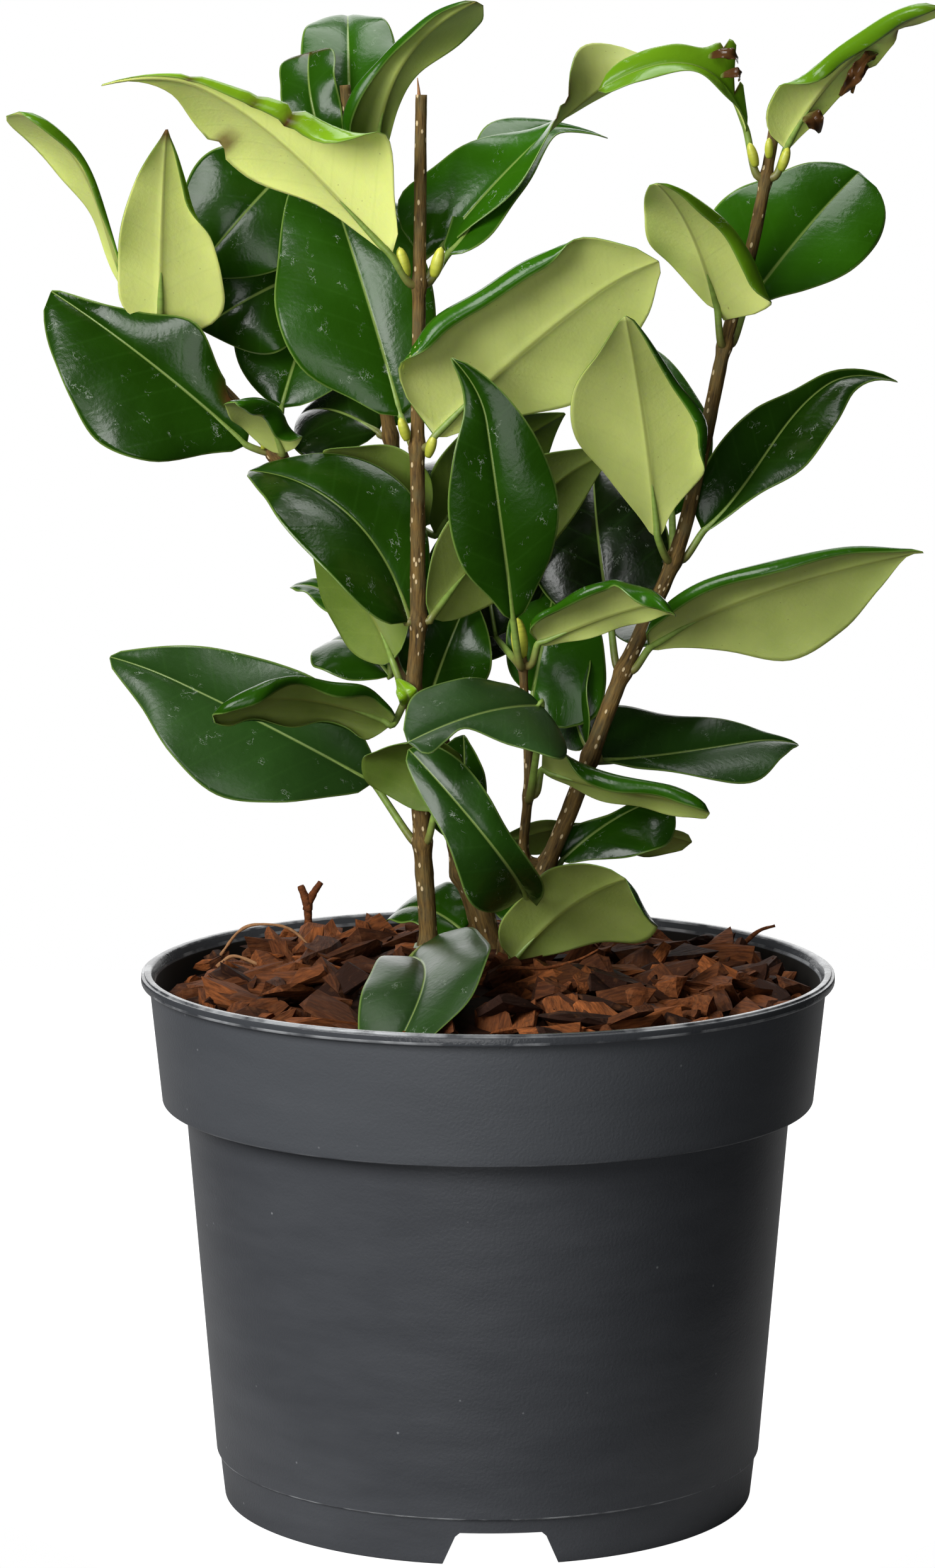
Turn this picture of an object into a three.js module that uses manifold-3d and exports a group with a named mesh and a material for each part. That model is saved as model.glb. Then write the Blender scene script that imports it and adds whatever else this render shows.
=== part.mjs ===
// A young Japanese privet in a round nursery pot: four cut-back stems from one root, their leaf pairs
// joint by joint, a side shoot, the potting mix and the pot. Millimetres, +Z up. Sizes below are measured
// from the pot's own axis, and the finished group is shifted so that its footprint is centred.

import * as THREE from 'three';
import { mergeVertices } from 'three/addons/utils/BufferGeometryUtils.js';
import Module from 'manifold-3d';

const wasm = await Module();
wasm.setup();

// Driving dimensions of the pot
const LIP_RADIUS = 85;
const LIP_TOP = 131.5;
const LIP_HEIGHT = 2.7;
const LIP_WIDTH = 2.4;
const COLLAR_TOP_RADIUS = 83;
const COLLAR_FOOT_RADIUS = 80;
const COLLAR_FOOT = 99.5;
const BODY_TOP_RADIUS = 74.4;
const SEAM_RADIUS = 67.3;
const SEAM_HEIGHT = 11.6;
const SKIRT_TOP_RADIUS = 66.6;
const FOOT_RADIUS = 65.3;
const WALL = 1.6;
const FLOOR_UNDERSIDE = 9.4;
const FLOOR_THICKNESS = 2;
const POT_SIDES = 40;
const NOTCH_HEIGHT = 8.1;
const NOTCH_TOP_WIDTH = 21;
const NOTCH_FOOT_WIDTH = 28;
const NOTCH_COUNT = 3;
const NOTCH_TURN = THREE.MathUtils.degToRad(-87.5);
const DRAIN_COUNT = 6;
const DRAIN_RADIUS = 6;
const DRAIN_CIRCLE = 42;
const DRAIN_SIDES = 12;
const CUT_LENGTH = 20;

// Driving dimensions of the potting mix and of the joints between pieces
const GROUND = 132;
const GROUND_FLAT_RADIUS = 30;
const MIX_EDGE = 121;
const GAP = 0.3;

// Driving dimensions of the wood and of a leaf
const STEM_SIDES = 8;
const STEM_STEP = 15;
const SHOOT_SIDES = 6;
const FLARE = 0.35;
const FLARE_HEIGHT = 10;
const UPRIGHT_FOOT = 2;
const COLLAR_RING = 1.1;
const COLLAR_LENGTH = 4;
const STALK_RADIUS = 1;
const STALK_TIP_RADIUS = 0.5;
const STALK_SIDES = 4;
const STALK_INTO_BLADE = 0.22;
const LEAF_THICKNESS = 0.012;
const LEAF_STEPS = 7;
const TAIL_START = 0.75;
const TWIST_START = 0.3;
const MARGIN_CURL = 0.24;
const FOOT_ROUNDING = 0.7;
const TIP_POINTING = 1.15;
const NARROWEST = 0.4;
// Height of t (1 - t)^2 at its peak at one third, so that an offset there is a true size
const THIRD_PEAK = 4 / 27;
const NORMAL_STEP = 0.01;

const LOOKS = {
  pot: { color: 0x45474b, roughness: 0.6 },
  mix: { color: 0x5a3424, roughness: 0.95 },
  bark: { color: 0x6b4f33, roughness: 0.8 },
  leaf: { color: 0x1e5a20, roughness: 0.4 },
};

// Stems: the centre line from the ground up, with the radius above the root flare and at the cut tip
const STEMS = {
  front: {
    line: [[-14, -6, 132], [-15, -6, 149], [-16, -7, 164], [-18, -8, 198], [-17, -8, 218], [-17, -8, 260],
      [-16.5, -8, 299], [-16, -8, 344]],
    radius: [2.1, 1.2],
  },
  right: {
    line: [[4, 0, 132], [7, 0, 144], [11, 0, 150], [19, 0, 168], [25, 0, 184], [33, 0, 205], [45, 0, 232],
      [51, 0, 255], [57, 0, 284], [63, 0, 306], [66.5, 0, 324], [68.5, 0, 336]],
    radius: [2.3, 1.4],
  },
  left: {
    line: [[1, 8, 132], [-2.5, 8, 146], [-6, 8.5, 155], [-8, 9, 165], [-20, 11, 203], [-25, 12, 211],
      [-39, 14, 235], [-52, 16, 257], [-58, 17, 264], [-83, 20, 291]],
    radius: [3.2, 1.5],
  },
  back: {
    line: [[2, 22, 132], [-4, 22, 150], [-9, 22, 170], [-17, 24, 220], [-24, 26, 260], [-31, 28, 300],
      [-35, 28, 346]],
    radius: [2.2, 1.3],
  },
};

// The side shoot of the right stem
const SHOOT = {
  node: 'side_shoot',
  stem: 'right',
  height: 157,
  line: [[9, -1, 158], [9.7, -5, 175], [9.7, -6, 186], [8.7, -7, 202], [8, -7, 214]],
  radius: [1.2, 1],
};

// A leaf runs from the foot of its blade to its tip, with its upper side towards face. Where the rule needs
// more: arch and sway are the midrib's offsets at one and two thirds (out of the upper side, and to the right
// seen from the foot), tail moves the last quarter down and to the right, fold lifts the left and right
// halves in degrees (foldTip at the tip), twist turns the blade towards the tip, broad is the widest place.
const LEAF = { arch: [3, 3], sway: [0, 0], tail: [0, 0], fold: [12, 12], foldTip: null, twist: 0, broad: 0.42 };

const WHORLS = [
  { node: 'leaves_front_1', stem: 'front', height: 138, leaves: [
    { base: [-15, -12, 134], tip: [-19, -70, 127], width: 40, face: [-0.45, -0.4, 0.85], fold: [5, 40] },
    { base: [-17, 1, 139], tip: [-34, 34, 141], width: 26, face: [0.1, -0.6, 0.9] },
  ] },
  { node: 'leaves_front_2', stem: 'front', height: 164, leaves: [
    { base: [-28, -3, 178], tip: [-92, 6, 209], width: 42,
      face: [0, -0.94, 0.34], fold: [20, 42], tail: [2, -1] },
    { base: [-13, -12, 172], tip: [-17, -31, 191], width: 32, face: [0.1, 0.85, 0.5] },
  ] },
  { node: 'leaves_front_3', stem: 'front', height: 200, leaves: [
    { base: [-23, -5, 208], tip: [-44, 6, 238], width: 26, face: [0.2, 0.9, 0.3], fold: [10, 30] },
    { base: [-23, -14, 194], tip: [-64, -37, 201], width: 28,
      face: [0, 0.65, 0.75], tail: [0, 3], broad: 0.5 },
  ] },
  { node: 'leaves_front_4', stem: 'front', height: 218, leaves: [
    { base: [-19, -9, 218], tip: [-58, 10, 254], width: 38,
      face: [0.2, -0.85, 0.3], sway: [4, 4], fold: [50, 25], tail: [2, 0], broad: 0.5 },
    { base: [-14, -9, 219], tip: [30, 0, 261], width: 28, face: [-0.4, 0.85, 0.3], tail: [3, -1] },
  ] },
  { node: 'leaves_front_5', stem: 'front', height: 260, leaves: [
    { base: [-21, 0, 267], tip: [-42, 26, 331], width: 44,
      face: [-0.2, -0.95, 0.2], fold: [5, 25], broad: 0.45 },
    { base: [-13, -11, 263], tip: [36, -26, 310], width: 46,
      face: [-0.1, 0.9, 0.4], fold: [45, 5], tail: [2, -1] },
  ] },
  { node: 'leaves_front_6', stem: 'front', height: 299, leaves: [
    { base: [-25, -11, 307], tip: [-87, -30, 350], width: 46,
      face: [0.1, 0.9, 0.4], sway: [-1, -4], tail: [0, 4], fold: [15, 55], foldTip: [110, 25], broad: 0.36 },
    { base: [-11, 0, 308], tip: [37, 14, 355], width: 38,
      face: [-0.3, -0.8, 0.5], fold: [15, 35], twist: -110, broad: 0.5 },
    { base: [-10, -4, 306], tip: [26, 30, 338], width: 30,
      face: [-0.35, -0.7, 0.65], fold: [30, 10], tail: [5, 3] },
  ] },
  { node: 'leaves_right_1', stem: 'right', height: 138, leaves: [
    { base: [11, -12, 134], tip: [36, -43, 162], width: 32,
      face: [-0.2, 0.75, 0.65], tail: [6, 0], fold: [15, 15] },
    { base: [6, 5, 141], tip: [18, 32, 148], width: 26, face: [0, -0.6, 0.8] },
  ] },
  { node: 'leaves_right_2', stem: 'right', height: 149, leaves: [
    { base: [8, -8, 153], tip: [-18, -42, 190], width: 32, face: [0.75, -0.45, 0.45], sway: [-2, -1],
      fold: [20, 30] },
    { base: [22, 1, 156], tip: [44, 12, 169], width: 22, face: [0, -0.8, 0.6], fold: [25, 25] },
  ] },
  { node: 'leaves_right_3', stem: 'right', height: 184, leaves: [
    { base: [26, 0, 183], tip: [76, 32, 185], width: 36, face: [0, -0.5, 0.87], arch: [-1, 0], tail: [3, 0],
      fold: [30, 10] },
    { base: [24, 3, 186], tip: [27, 28, 211], width: 26, face: [-1, -0.2, 0.2] },
  ] },
  { node: 'leaves_right_4', stem: 'right', height: 205, leaves: [
    { base: [39, -3, 211], tip: [97, -22, 239], width: 40,
      face: [0.1, 0.5, 0.85], arch: [-1, -3], tail: [0, -3], fold: [-5, 5] },
    { base: [30, 3, 215], tip: [26, 26, 254], width: 34, face: [-0.2, -0.85, 0.4] },
  ] },
  { node: 'leaves_right_5', stem: 'right', height: 232, leaves: [
    { base: [41, -5, 238], tip: [32, -34, 293], width: 36,
      face: [0.1, 0.9, 0.4], fold: [35, 20], broad: 0.34 },
    { base: [52, 1, 239], tip: [96, 18, 277], width: 35,
      face: [-0.1, -0.75, 0.65], tail: [5, 1], fold: [60, 30] },
  ] },
  { node: 'leaves_right_6', stem: 'right', height: 284, leaves: [
    { base: [55, -4, 290], tip: [39, -38, 323], width: 32,
      face: [0.25, 0.8, 0.5], fold: [10, 35], broad: 0.32 },
    { base: [62, 4, 293], tip: [91, 26, 324], width: 41,
      face: [0.1, -0.85, 0.5], fold: [15, 15], broad: 0.5 },
  ] },
  { node: 'leaves_right_7', stem: 'right', height: 324, leaves: [
    { base: [62, -1, 335], tip: [27, -8, 345], width: 32,
      face: [0, -0.35, 0.95], arch: [8, 7], fold: [15, 15], broad: 0.5 },
    { base: [71, -2, 331], tip: [102, -32, 365], width: 24,
      face: [-0.4, 0.7, 0.5], sway: [3, 3], fold: [30, 30] },
  ] },
  { node: 'leaves_left_1', stem: 'left', height: 154, leaves: [
    { base: [-8, 4, 163], tip: [-6, 2, 189], width: 22, face: [0.2, 0.9, 0.2] },
    { base: [2, 15, 160], tip: [51, 24, 159], width: 28, face: [0, 0.6, 0.75], arch: [6, 5] },
  ] },
  { node: 'leaves_left_2', stem: 'left', height: 210, leaves: [
    { base: [-24, 14, 202], tip: [-42, 36, 206], width: 25, face: [0, -0.6, 0.8] },
    { base: [-30, 16, 213], tip: [-49, 34, 222], width: 22, face: [0, -0.6, 0.8] },
    { base: [-13, 8, 204], tip: [2, -2, 216], width: 20, face: [0, 0.8, 0.6] },
  ] },
  { node: 'leaves_left_3', stem: 'left', height: 257, leaves: [
    { base: [-59, 14, 259], tip: [-107, 22, 295], width: 44,
      face: [0, -0.95, 0.25], fold: [5, 45], broad: 0.46 },
    { base: [-50, 12, 257], tip: [-61, -8, 271], width: 26, face: [0.1, 0.6, 0.7] },
    { base: [-51, 28, 267], tip: [-36, 58, 303], width: 36, face: [-0.2, -0.9, 0.4] },
  ] },
  { node: 'leaves_left_4', stem: 'left', height: 288, leaves: [
    { base: [-86, 18, 292], tip: [-115, -4, 339], width: 20,
      face: [0.5, 0.75, 0.35], fold: [20, 40], broad: 0.6 },
    { base: [-80, 17, 289], tip: [-76, -16, 335], width: 28,
      face: [-0.1, 0.85, 0.45], fold: [20, 30], broad: 0.28 },
    { base: [-84, 25, 294], tip: [-92, 58, 306], width: 26, face: [0, -0.5, 0.9] },
  ] },
  { node: 'leaves_back_1', stem: 'back', height: 338, leaves: [
    { base: [-35, 33, 344], tip: [-35, 68, 360], width: 25,
      face: [0, -0.8, 0.5], arch: [3, 5], fold: [20, 20] },
    { base: [-38, 30, 336], tip: [-46, 46, 354], width: 22, face: [-0.3, -0.9, 0.3], fold: [20, 60] },
  ] },
  { node: 'leaves_back_2', stem: 'back', height: 325, leaves: [
    { base: [-27, 22, 328], tip: [-3, -3, 365], width: 32, face: [-0.1, 0.9, 0.3], fold: [40, 40] },
    { base: [-47, 30, 328], tip: [-73, 28, 299], width: 34, face: [0, -0.95, 0.2], fold: [10, 10] },
  ] },
  { node: 'leaves_back_3', stem: 'back', height: 300, leaves: [
    { base: [-48, 34, 299], tip: [-71, 34, 286], width: 30, face: [0, -0.95, 0.2] },
    { base: [-33, 36, 304], tip: [-45, 75, 316], width: 34, face: [0, -0.4, 0.9] },
  ] },
  { node: 'leaves_back_4', stem: 'back', height: 260, leaves: [
    { base: [-27, 28, 261], tip: [-47, 44, 264], width: 30, face: [0, -0.8, 0.6] },
    { base: [-24, 36, 262], tip: [-20, 72, 272], width: 34, face: [0, -0.4, 0.9] },
  ] },
  { node: 'leaves_back_5', stem: 'back', height: 238, leaves: [
    { base: [-17, 20, 236], tip: [-40, 10, 258], width: 26, face: [0.3, 0.85, 0.3] },
    { base: [-13, 22, 236], tip: [19, 24, 266], width: 28, face: [-0.4, 0.8, 0.4] },
    { base: [-12, 30, 240], tip: [6, 66, 248], width: 32, face: [0, -0.4, 0.9] },
  ] },
  { node: 'leaves_back_6', stem: 'back', height: 210, leaves: [
    { base: [-8, 25, 206], tip: [-3, 39, 224], width: 20, face: [0, -0.9, 0.4] },
    { base: [-16, 33, 203], tip: [-20, 68, 196], width: 32, face: [0, -0.4, 0.9] },
  ] },
];

const SHOOT_JOINTS = [
  { at: 175, leaves: [
    { base: [13, -20, 199], tip: [-19, -47, 194], width: 29,
      face: [0, -0.7, 0.7], arch: [2, 2], fold: [10, 15], broad: 0.55 },
    { base: [13, -8, 182], tip: [54, -24, 176], width: 30,
      face: [-0.1, 0.4, 0.95], arch: [-1, -1], fold: [0, 10], tail: [3, 0] },
    { base: [12, 4, 191], tip: [10, 14, 212], width: 22, face: [0, -0.9, 0.4] },
  ] },
  { at: 207, leaves: [
    { base: [6, -14, 219], tip: [-1, -24, 276], width: 36,
      face: [0.05, -1, 0.1], fold: [25, 25], tail: [-4, -7], broad: 0.45 },
    { base: [12, -10, 213], tip: [45, -30, 226], width: 28,
      face: [-0.1, 0.55, 0.8], arch: [1, 2], fold: [0, 10], tail: [6, 2] },
    { base: [2, 11, 216], tip: [-2, 18, 238], width: 18, face: [0, -0.9, 0.4] },
  ] },
];

const vec = (p) => new THREE.Vector3(...p);

// Solids and meshes
function solidOf(geometry) {
  const bare = geometry.clone();
  bare.deleteAttribute('normal');
  bare.deleteAttribute('uv');
  const merged = mergeVertices(bare, 1e-4);
  const vertProperties = new Float32Array(merged.attributes.position.array);
  const triVerts = new Uint32Array(merged.index.array);
  return new wasm.Manifold(new wasm.Mesh({ numProp: 3, vertProperties, triVerts }));
}

// The one closed body of a solid: a sealed hollow is filled and a loose crumb dropped
function wholeBody(solid) {
  const pieces = solid.decompose();
  return pieces.reduce((best, piece) => (piece.volume() > best.volume() ? piece : best));
}

function geometryOf(solid) {
  const mesh = wholeBody(solid).getMesh();
  const geometry = new THREE.BufferGeometry();
  geometry.setAttribute('position', new THREE.BufferAttribute(new Float32Array(mesh.vertProperties), 3));
  geometry.setIndex(new THREE.BufferAttribute(new Uint32Array(mesh.triVerts), 1));
  geometry.computeVertexNormals();
  return geometry;
}

function indexed(points, triangles) {
  const geometry = new THREE.BufferGeometry().setFromPoints(points);
  geometry.setIndex(triangles);
  return geometry;
}

function meshOf(name, geometry, look) {
  const mesh = new THREE.Mesh(geometry, new THREE.MeshStandardMaterial({ ...look, metalness: 0 }));
  mesh.name = name;
  return mesh;
}

// Wood: a limb is a chain of rings round a centre line, closed at both ends
function limb(centres, radii, sides) {
  const points = [];
  const triangles = [];
  const last = centres.length - 1;
  let side = new THREE.Vector3(1, 0, 0);
  centres.forEach((centre, i) => {
    const tangent = centres[Math.min(i + 1, last)].clone().sub(centres[Math.max(i - 1, 0)]).normalize();
    if (i === 0) tangent.copy(centres[1]).sub(centre).normalize();
    side = side.clone().addScaledVector(tangent, -side.dot(tangent)).normalize();
    const other = tangent.clone().cross(side);
    for (let k = 0; k < sides; k += 1) {
      const turn = (2 * Math.PI * k) / sides;
      const ring = centre.clone().addScaledVector(side, radii[i] * Math.cos(turn));
      points.push(ring.addScaledVector(other, radii[i] * Math.sin(turn)));
    }
    if (i === 0) return;
    for (let k = 0; k < sides; k += 1) {
      const a = (i - 1) * sides + k;
      const b = (i - 1) * sides + ((k + 1) % sides);
      triangles.push(a, b, b + sides, a, b + sides, a + sides);
    }
  });
  for (let k = 1; k < sides - 1; k += 1) {
    triangles.push(0, k + 1, k);
    triangles.push(last * sides, last * sides + k, last * sides + k + 1);
  }
  return indexed(points, triangles);
}

function stemCentres(stem) {
  const curve = new THREE.CatmullRomCurve3(stem.line.map(vec), false, 'centripetal');
  const steps = Math.round(curve.getLength() / STEM_STEP);
  const centres = curve.getSpacedPoints(steps);
  // A short upright foot makes the cut at the ground level
  centres.splice(1, 0, centres[0].clone().add(new THREE.Vector3(0, 0, UPRIGHT_FOOT)));
  return centres;
}

function stemRadius(stem, height, share) {
  const taper = THREE.MathUtils.lerp(stem.radius[0], stem.radius[1], share);
  const above = Math.max(0, 1 - (height - GROUND) / FLARE_HEIGHT);
  return taper * (1 + FLARE * above * above);
}

function stemSolid(stem, extra) {
  const centres = stemCentres(stem);
  const radii = centres.map((c, i) => stemRadius(stem, c.z, i / (centres.length - 1)) + extra);
  return limb(centres, radii, STEM_SIDES);
}

function pointAtHeight(line, height) {
  const next = line.findIndex((p) => p[2] > height);
  if (next < 0) return vec(line[line.length - 1]);
  const [a, b] = [vec(line[next - 1]), vec(line[next])];
  return a.lerp(b, (height - a.z) / (b.z - a.z));
}

// Leaves
function leafFrame(leaf) {
  const base = vec(leaf.base);
  const reach = vec(leaf.tip).sub(base);
  const along = reach.clone().normalize();
  const up = vec(leaf.face);
  up.addScaledVector(along, -up.dot(along)).normalize();
  return { base, reach, up, right: along.clone().cross(up) };
}

function halfWidth(leaf, t) {
  const before = THREE.MathUtils.clamp((leaf.broad - t) / leaf.broad, 0, 1);
  const after = THREE.MathUtils.clamp((t - leaf.broad) / (1 - leaf.broad), 0, 1);
  const share = t < leaf.broad ? (1 - before * before) ** FOOT_ROUNDING : (1 - after * after) ** TIP_POINTING;
  return (leaf.width / 2) * share + NARROWEST;
}

function midribPoint(leaf, frame, t) {
  const first = (t * (1 - t) ** 2) / THIRD_PEAK;
  const second = (t * t * (1 - t)) / THIRD_PEAK;
  const tail = Math.max(0, (t - TAIL_START) / (1 - TAIL_START)) ** 2;
  const rise = leaf.arch[0] * first + leaf.arch[1] * second - leaf.tail[0] * tail;
  const drift = leaf.sway[0] * first + leaf.sway[1] * second + leaf.tail[1] * tail;
  const point = frame.base.clone().addScaledVector(frame.reach, t);
  return point.addScaledVector(frame.up, rise).addScaledVector(frame.right, drift);
}

// A point of the blade: t runs from foot to tip, v from the left margin (-1) to the right one (1)
function bladePoint(leaf, frame, t, v) {
  const turn = THREE.MathUtils.degToRad(leaf.twist) * Math.max(0, (t - TWIST_START) / (1 - TWIST_START)) ** 1.5;
  const up = frame.up.clone().multiplyScalar(Math.cos(turn)).addScaledVector(frame.right, Math.sin(turn));
  const right = frame.right.clone().multiplyScalar(Math.cos(turn)).addScaledVector(frame.up, -Math.sin(turn));
  const half = v < 0 ? 0 : 1;
  const foldTip = leaf.foldTip ?? leaf.fold;
  const fold = THREE.MathUtils.degToRad(THREE.MathUtils.lerp(leaf.fold[half], foldTip[half], t));
  const width = halfWidth(leaf, t);
  const lift = width * Math.abs(v) * Math.sin(fold) - MARGIN_CURL * width * v * v;
  const point = midribPoint(leaf, frame, t);
  return point.addScaledVector(right, width * v * Math.cos(fold)).addScaledVector(up, lift);
}

function bladeGeometry(leaf) {
  const frame = leafFrame(leaf);
  const thick = LEAF_THICKNESS * frame.reach.length();
  const across = [-1, 0, 1];
  const upper = [];
  const lower = [];
  for (let i = 0; i <= LEAF_STEPS; i += 1) {
    const t = i / LEAF_STEPS;
    for (const v of across) {
      const point = bladePoint(leaf, frame, t, v);
      const along = bladePoint(leaf, frame, Math.min(1, t + NORMAL_STEP), v);
      along.sub(bladePoint(leaf, frame, Math.max(0, t - NORMAL_STEP), v));
      const over = bladePoint(leaf, frame, t, Math.min(1, v + NORMAL_STEP));
      over.sub(bladePoint(leaf, frame, t, Math.max(-1, v - NORMAL_STEP)));
      const normal = over.cross(along).normalize();
      upper.push(point.clone().addScaledVector(normal, thick / 2));
      lower.push(point.clone().addScaledVector(normal, -thick / 2));
    }
  }
  const count = upper.length;
  const row = across.length;
  const triangles = [];
  const quad = (a, b, c, d) => triangles.push(a, b, c, a, c, d);
  for (let i = 0; i < LEAF_STEPS; i += 1) {
    const a = i * row;
    for (let j = 0; j < row - 1; j += 1) {
      quad(a + j, a + j + 1, a + row + j + 1, a + row + j);
      quad(count + a + j + 1, count + a + j, count + a + row + j, count + a + row + j + 1);
    }
    quad(a + row, a + count + row, a + count, a);
    quad(a + row - 1, a + count + row - 1, a + count + 2 * row - 1, a + 2 * row - 1);
  }
  const tip = LEAF_STEPS * row;
  for (let j = 0; j < row - 1; j += 1) {
    quad(j, count + j, count + j + 1, j + 1);
    quad(tip + j + 1, count + tip + j + 1, count + tip + j, tip + j);
  }
  return indexed([...upper, ...lower], triangles);
}

// A stalk leaves its joint square to the wood, turns to the blade's foot and thins out along the midrib
function stalkGeometry(leaf, joint) {
  const frame = leafFrame(leaf);
  const out = frame.base.clone().sub(joint.point);
  out.addScaledVector(joint.along, -out.dot(joint.along)).setLength(joint.reach);
  const into = midribPoint(leaf, frame, STALK_INTO_BLADE);
  const radii = [STALK_RADIUS, STALK_RADIUS, STALK_RADIUS, STALK_TIP_RADIUS];
  return limb([joint.point, joint.point.clone().add(out), frame.base, into], radii, STALK_SIDES);
}

function leafSolid(leaf, joint) {
  const whole = { ...LEAF, ...leaf };
  return solidOf(bladeGeometry(whole)).add(solidOf(stalkGeometry(whole, joint)));
}

// The swollen joint that carries a leaf pair: a ring round the stem, cut clear of the wood by the gap
function jointOf(stem, height) {
  const foot = pointAtHeight(stem.line, height - COLLAR_LENGTH / 2);
  const head = pointAtHeight(stem.line, height + COLLAR_LENGTH / 2);
  const share = (height - GROUND) / (stem.line[stem.line.length - 1][2] - GROUND);
  const reach = stemRadius(stem, height, share) + GAP + COLLAR_RING;
  const ring = limb([foot, head], [reach, reach], STEM_SIDES);
  return { point: pointAtHeight(stem.line, height), along: head.sub(foot).normalize(), reach, ring };
}

function cutClear(solid, stem) {
  const spread = GAP / Math.cos(Math.PI / STEM_SIDES);
  return solid.subtract(solidOf(stemSolid(stem, spread)));
}

function whorl({ node, stem, height, leaves }) {
  const joint = jointOf(STEMS[stem], height);
  let solid = solidOf(joint.ring);
  for (const leaf of leaves) solid = solid.add(leafSolid(leaf, joint));
  return meshOf(node, geometryOf(cutClear(solid, STEMS[stem])), LOOKS.leaf);
}

function sideShoot() {
  const stem = STEMS[SHOOT.stem];
  const centres = [pointAtHeight(stem.line, SHOOT.height), ...SHOOT.line.map(vec)];
  const last = centres.length - 1;
  const radii = centres.map((c, i) => THREE.MathUtils.lerp(SHOOT.radius[0], SHOOT.radius[1], i / last));
  let solid = solidOf(jointOf(stem, SHOOT.height).ring).add(solidOf(limb(centres, radii, SHOOT_SIDES)));
  for (const { at, leaves } of SHOOT_JOINTS) {
    const along = new THREE.Vector3(0, 0, 1);
    const joint = { point: pointAtHeight(SHOOT.line, at), along, reach: SHOOT.radius[0] };
    for (const leaf of leaves) solid = solid.add(leafSolid(leaf, joint));
  }
  return meshOf(SHOOT.node, geometryOf(cutClear(solid, stem)), LOOKS.leaf);
}

// Pot: one turned shell, with drain holes in its raised floor and notches in its skirt
function turned(profile) {
  const geometry = new THREE.LatheGeometry(profile.map(([r, z]) => new THREE.Vector2(r, z)), POT_SIDES);
  return geometry.rotateX(Math.PI / 2);
}

function bodyRadius(height) {
  const share = (height - SEAM_HEIGHT) / (COLLAR_FOOT - SEAM_HEIGHT);
  return THREE.MathUtils.lerp(SEAM_RADIUS, BODY_TOP_RADIUS, share);
}

function notchTool(turn) {
  const outline = new THREE.Shape();
  outline.moveTo(-NOTCH_FOOT_WIDTH / 2, -1);
  outline.lineTo(NOTCH_FOOT_WIDTH / 2, -1);
  outline.lineTo(NOTCH_TOP_WIDTH / 2, NOTCH_HEIGHT);
  outline.lineTo(-NOTCH_TOP_WIDTH / 2, NOTCH_HEIGHT);
  const tool = new THREE.ExtrudeGeometry(outline, { depth: CUT_LENGTH, bevelEnabled: false });
  tool.rotateX(Math.PI / 2).translate(0, FOOT_RADIUS + CUT_LENGTH / 2, 0);
  return tool.rotateZ(turn - Math.PI / 2);
}

function pot() {
  const floorTop = FLOOR_UNDERSIDE + FLOOR_THICKNESS;
  const profile = [
    [0, FLOOR_UNDERSIDE],
    [SKIRT_TOP_RADIUS - WALL, FLOOR_UNDERSIDE],
    [FOOT_RADIUS - WALL, 0],
    [FOOT_RADIUS, 0],
    [SKIRT_TOP_RADIUS, SEAM_HEIGHT],
    [SEAM_RADIUS, SEAM_HEIGHT],
    [BODY_TOP_RADIUS, COLLAR_FOOT],
    [COLLAR_FOOT_RADIUS, COLLAR_FOOT],
    [COLLAR_TOP_RADIUS, LIP_TOP - LIP_HEIGHT],
    [LIP_RADIUS, LIP_TOP - LIP_HEIGHT],
    [LIP_RADIUS, LIP_TOP],
    [LIP_RADIUS - LIP_WIDTH, LIP_TOP],
    [COLLAR_TOP_RADIUS - WALL, LIP_TOP - LIP_HEIGHT],
    [COLLAR_FOOT_RADIUS - WALL, COLLAR_FOOT + WALL],
    [BODY_TOP_RADIUS - WALL, COLLAR_FOOT + WALL],
    [bodyRadius(floorTop) - WALL, floorTop],
    [0, floorTop],
  ];
  let solid = solidOf(turned(profile));
  for (let k = 0; k < NOTCH_COUNT; k += 1) {
    solid = solid.subtract(solidOf(notchTool(NOTCH_TURN + (2 * Math.PI * k) / NOTCH_COUNT)));
  }
  for (let k = 0; k < DRAIN_COUNT; k += 1) {
    const turn = (2 * Math.PI * k) / DRAIN_COUNT;
    const hole = new THREE.CylinderGeometry(DRAIN_RADIUS, DRAIN_RADIUS, CUT_LENGTH, DRAIN_SIDES).rotateX(Math.PI / 2);
    hole.translate(DRAIN_CIRCLE * Math.cos(turn), DRAIN_CIRCLE * Math.sin(turn), FLOOR_UNDERSIDE);
    solid = solid.subtract(solidOf(hole));
  }
  return meshOf('pot', geometryOf(solid), LOOKS.pot);
}

// Potting mix: fills the pot to a low mound, flat where the stems rise
function pottingMix() {
  const foot = FLOOR_UNDERSIDE + FLOOR_THICKNESS + GAP;
  const inset = WALL + GAP;
  const ledge = COLLAR_FOOT + WALL + GAP;
  const share = (MIX_EDGE - COLLAR_FOOT) / (LIP_TOP - LIP_HEIGHT - COLLAR_FOOT);
  const edge = THREE.MathUtils.lerp(COLLAR_FOOT_RADIUS, COLLAR_TOP_RADIUS, share);
  const profile = [
    [0, foot],
    [bodyRadius(foot) - inset, foot],
    [BODY_TOP_RADIUS - inset, ledge],
    [COLLAR_FOOT_RADIUS - inset, ledge],
    [edge - inset, MIX_EDGE],
    [GROUND_FLAT_RADIUS, GROUND - GAP],
    [0, GROUND - GAP],
  ];
  return meshOf('potting_mix', geometryOf(solidOf(turned(profile))), LOOKS.mix);
}

const plant = new THREE.Group();
plant.add(pot(), pottingMix());
for (const [name, stem] of Object.entries(STEMS)) {
  plant.add(meshOf(`stem_${name}`, stemSolid(stem, 0), LOOKS.bark));
}
for (const entry of WHORLS) plant.add(whorl(entry));
plant.add(sideShoot());

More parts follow.
